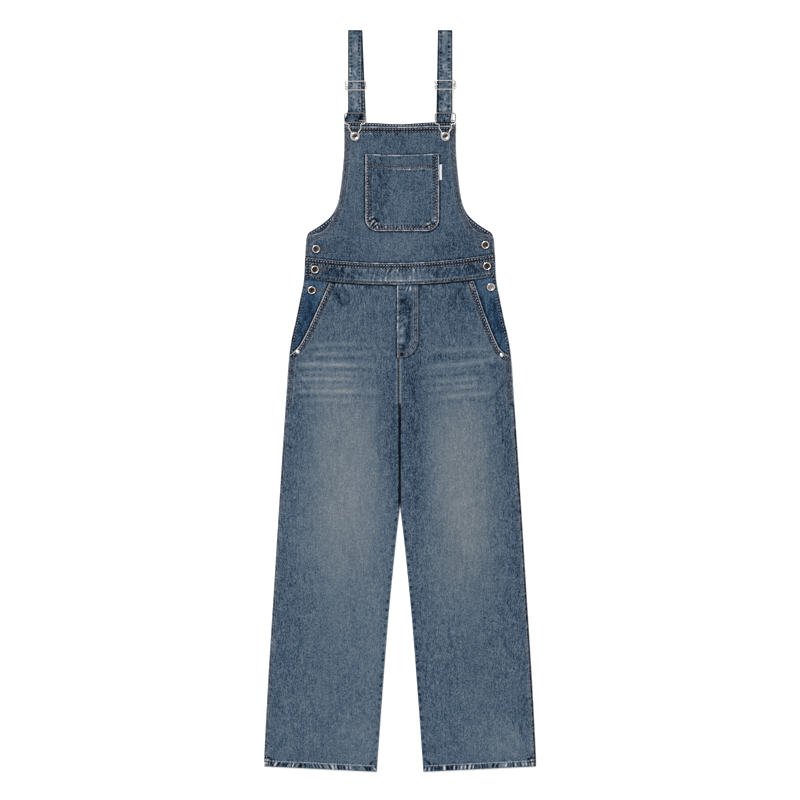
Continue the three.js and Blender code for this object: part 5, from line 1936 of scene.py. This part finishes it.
class DUNGAREES_OT_facings(PieceOperator, bpy.types.Operator):
    """Hip pocket facings, in deeper blue"""

    bl_idname = "dungarees.facings"
    bl_label = "Pocket facings"

    def make(self, settings):
        across, along = (70.0, 1.3, 3.0, 14.0), (170.0, 1.3, 2.4, 10.0)
        for name in SIGN:
            node, sewing = f"pocket_facing_{name}", (f"stitches_facing_{name}", 341)
            rests_on = [f"leg_back_{name}"]
            finish_panel(facing_cloth(name), across, along, node, rests_on, settings, sewing, "denim_facing")


class DUNGAREES_OT_pocket(PieceOperator, bpy.types.Operator):
    """Bib pocket and its bare white tab"""

    bl_idname = "dungarees.pocket"
    bl_label = "Bib pocket"

    def make(self, settings):
        across, along = (154.0, 1.1, 2.2, 16.0), (162.0, 1.1, 2.2, 16.0)
        sewing = ("stitches_pocket", 351)
        finish_panel(pocket_cloth(), across, along, "bib_pocket", ["bib_front"], settings, sewing)
        tab_piece(settings)


class DUNGAREES_OT_fly(PieceOperator, bpy.types.Operator):
    """Fly with its J-shaped stitching"""

    bl_idname = "dungarees.fly"
    bl_label = "Fly"

    def make(self, settings):
        cloth = fly_cloth()
        across, along = (45.0, 1.0, 1.3, 13.0), (155.0, 1.1, 1.8, 14.0)
        rests_on, sewing = ["leg_front_left", "leg_front_right"], ("stitches_fly", 361)
        finish_panel(cloth, across, along, "fly", rests_on, settings, sewing)
        bartack("bartack_fly", -1.0, 100.0, 1.4, 13.0, cloth, settings, 365, -1.5)


class DUNGAREES_OT_straps(PieceOperator, bpy.types.Operator):
    """Shoulder straps, each one ribbon in up to three layers"""

    bl_idname = "dungarees.straps"
    bl_label = "Straps"

    def make(self, settings):
        for name in STRAPS:
            strap_piece(name, settings)


class DUNGAREES_OT_wires(PieceOperator, bpy.types.Operator):
    """Wire sliders and bib buckles"""

    bl_idname = "dungarees.wires"
    bl_label = "Sliders and buckles"

    def make(self, settings):
        for name, strap in STRAPS.items():
            place = (strap["x"] + SLIDER_SHIFT, strap["slider"], strap["tilt"])
            wire_piece("slider", name, slider_shapes(), slider_shade, place, settings)
            place = (strap["buckle"], BUTTON_UP, strap["tilt"] / 2)
            wire_piece("buckle", name, buckle_shapes(), buckle_shade, place, settings)


class DUNGAREES_OT_buttons(PieceOperator, bpy.types.Operator):
    """Bib and side buttons, buttonholes and rivets"""

    bl_idname = "dungarees.buttons"
    bl_label = "Buttons and rivets"

    def make(self, settings):
        for name in SIGN:
            button_piece(f"bib_button_{name}", BUTTON_PROFILE, settings, 3.2, 0.64, 0.45)
            for k, worn in enumerate(BUTTON_WEAR[name], 1):
                node = f"side_button_{name}_{k}"
                button_piece(node, BUTTON_PROFILE, settings, worn=worn)
                buttonhole(node, settings, k if name == "left" else k + 3)
            button_piece(f"rivet_{name}", RIVET_PROFILE, settings, worn=0.0)


class DUNGAREES_OT_stage(PieceOperator, bpy.types.Operator):
    """Pale floor, soft light and the camera straight above"""

    bl_idname = "dungarees.stage"
    bl_label = "Stage"

    def make(self, settings):
        scene = bpy.context.scene
        scene.view_settings.view_transform = "Standard"
        corners = np.array([[x, y, -0.05] for x, y in ((-1, -1), (1, -1), (1, 1), (-1, 1))])
        corners[:, :2] *= FLOOR_HALF
        floor = mesh_object("floor", corners, [np.array([[0, 1, 2, 3]])], shade_smooth=False)
        paint = Paint("floor", 0.9)
        paint.shader.inputs["Base Color"].default_value = (*settings.floor, 1.0)
        paint.shader.inputs["Emission Color"].default_value = (1.0, 1.0, 1.0, 1.0)
        paint.shader.inputs["Emission Strength"].default_value = FLOOR_GLOW
        floor.data.materials.append(paint.material)
        scene.world = bpy.data.worlds.new("studio")
        nodes = Nodes(scene.world)
        place = nodes.node("ShaderNodeTexCoord").out("Generated")
        up = nodes.node("ShaderNodeSeparateXYZ", None, (place,)).out("Z")
        stops = [(height, bright, bright, bright) for height, bright in SKY_BANDS]
        half = up.math("MULTIPLY_ADD", 0.5, 0.5)
        band = nodes.node("ShaderNodeValToRGB", {"stops": stops}, (half,)).out("Color")
        sky = nodes.tree.nodes["Background"]
        nodes.tree.links.new(band.socket, sky.inputs["Color"])
        sky.inputs["Strength"].default_value = settings.sky
        light = bpy.data.lights.new("key", "SUN")
        light.energy = settings.sun
        light.angle = math.radians(KEY_SPREAD)
        key = bpy.data.objects.new("key", light)
        key.rotation_euler = [math.radians(turn) for turn in KEY_TURNS]
        scene.collection.objects.link(key)
        lens = bpy.data.cameras.new("camera")
        lens.type = "ORTHO"
        lens.ortho_scale = settings.frame_height
        lens.clip_end = 100.0
        camera = bpy.data.objects.new("camera", lens)
        camera.location = CAMERA_PLACE
        scene.collection.objects.link(camera)
        scene.camera = camera


PIECES = (
    DUNGAREES_OT_stage, DUNGAREES_OT_back, DUNGAREES_OT_bib, DUNGAREES_OT_legs, DUNGAREES_OT_waistband,
    DUNGAREES_OT_facings, DUNGAREES_OT_pocket, DUNGAREES_OT_fly, DUNGAREES_OT_straps, DUNGAREES_OT_wires,
    DUNGAREES_OT_buttons,
)


class DUNGAREES_PT_panel(bpy.types.Panel):
    """Lists the pieces and the settings"""

    bl_idname = "DUNGAREES_PT_panel"
    bl_label = "Dungarees"
    bl_space_type = "VIEW_3D"
    bl_region_type = "UI"
    bl_category = "Dungarees"

    def draw(self, context):
        settings = context.scene.dungarees
        for key in DungareesSettings.__annotations__:
            self.layout.prop(settings, key)
        for piece in PIECES:
            self.layout.operator(piece.bl_idname)


CLASSES = (DungareesSettings, *PIECES, DUNGAREES_PT_panel)


def register():
    for part in CLASSES:
        bpy.utils.register_class(part)
    bpy.types.Scene.dungarees = bpy.props.PointerProperty(type=DungareesSettings)


def unregister():
    del bpy.types.Scene.dungarees
    for part in reversed(CLASSES):
        bpy.utils.unregister_class(part)


def main():
    """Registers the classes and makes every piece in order."""
    register()
    for piece in PIECES:
        group, action = piece.bl_idname.split(".")
        getattr(getattr(bpy.ops, group), action)()


if __name__ == "__main__":
    main()
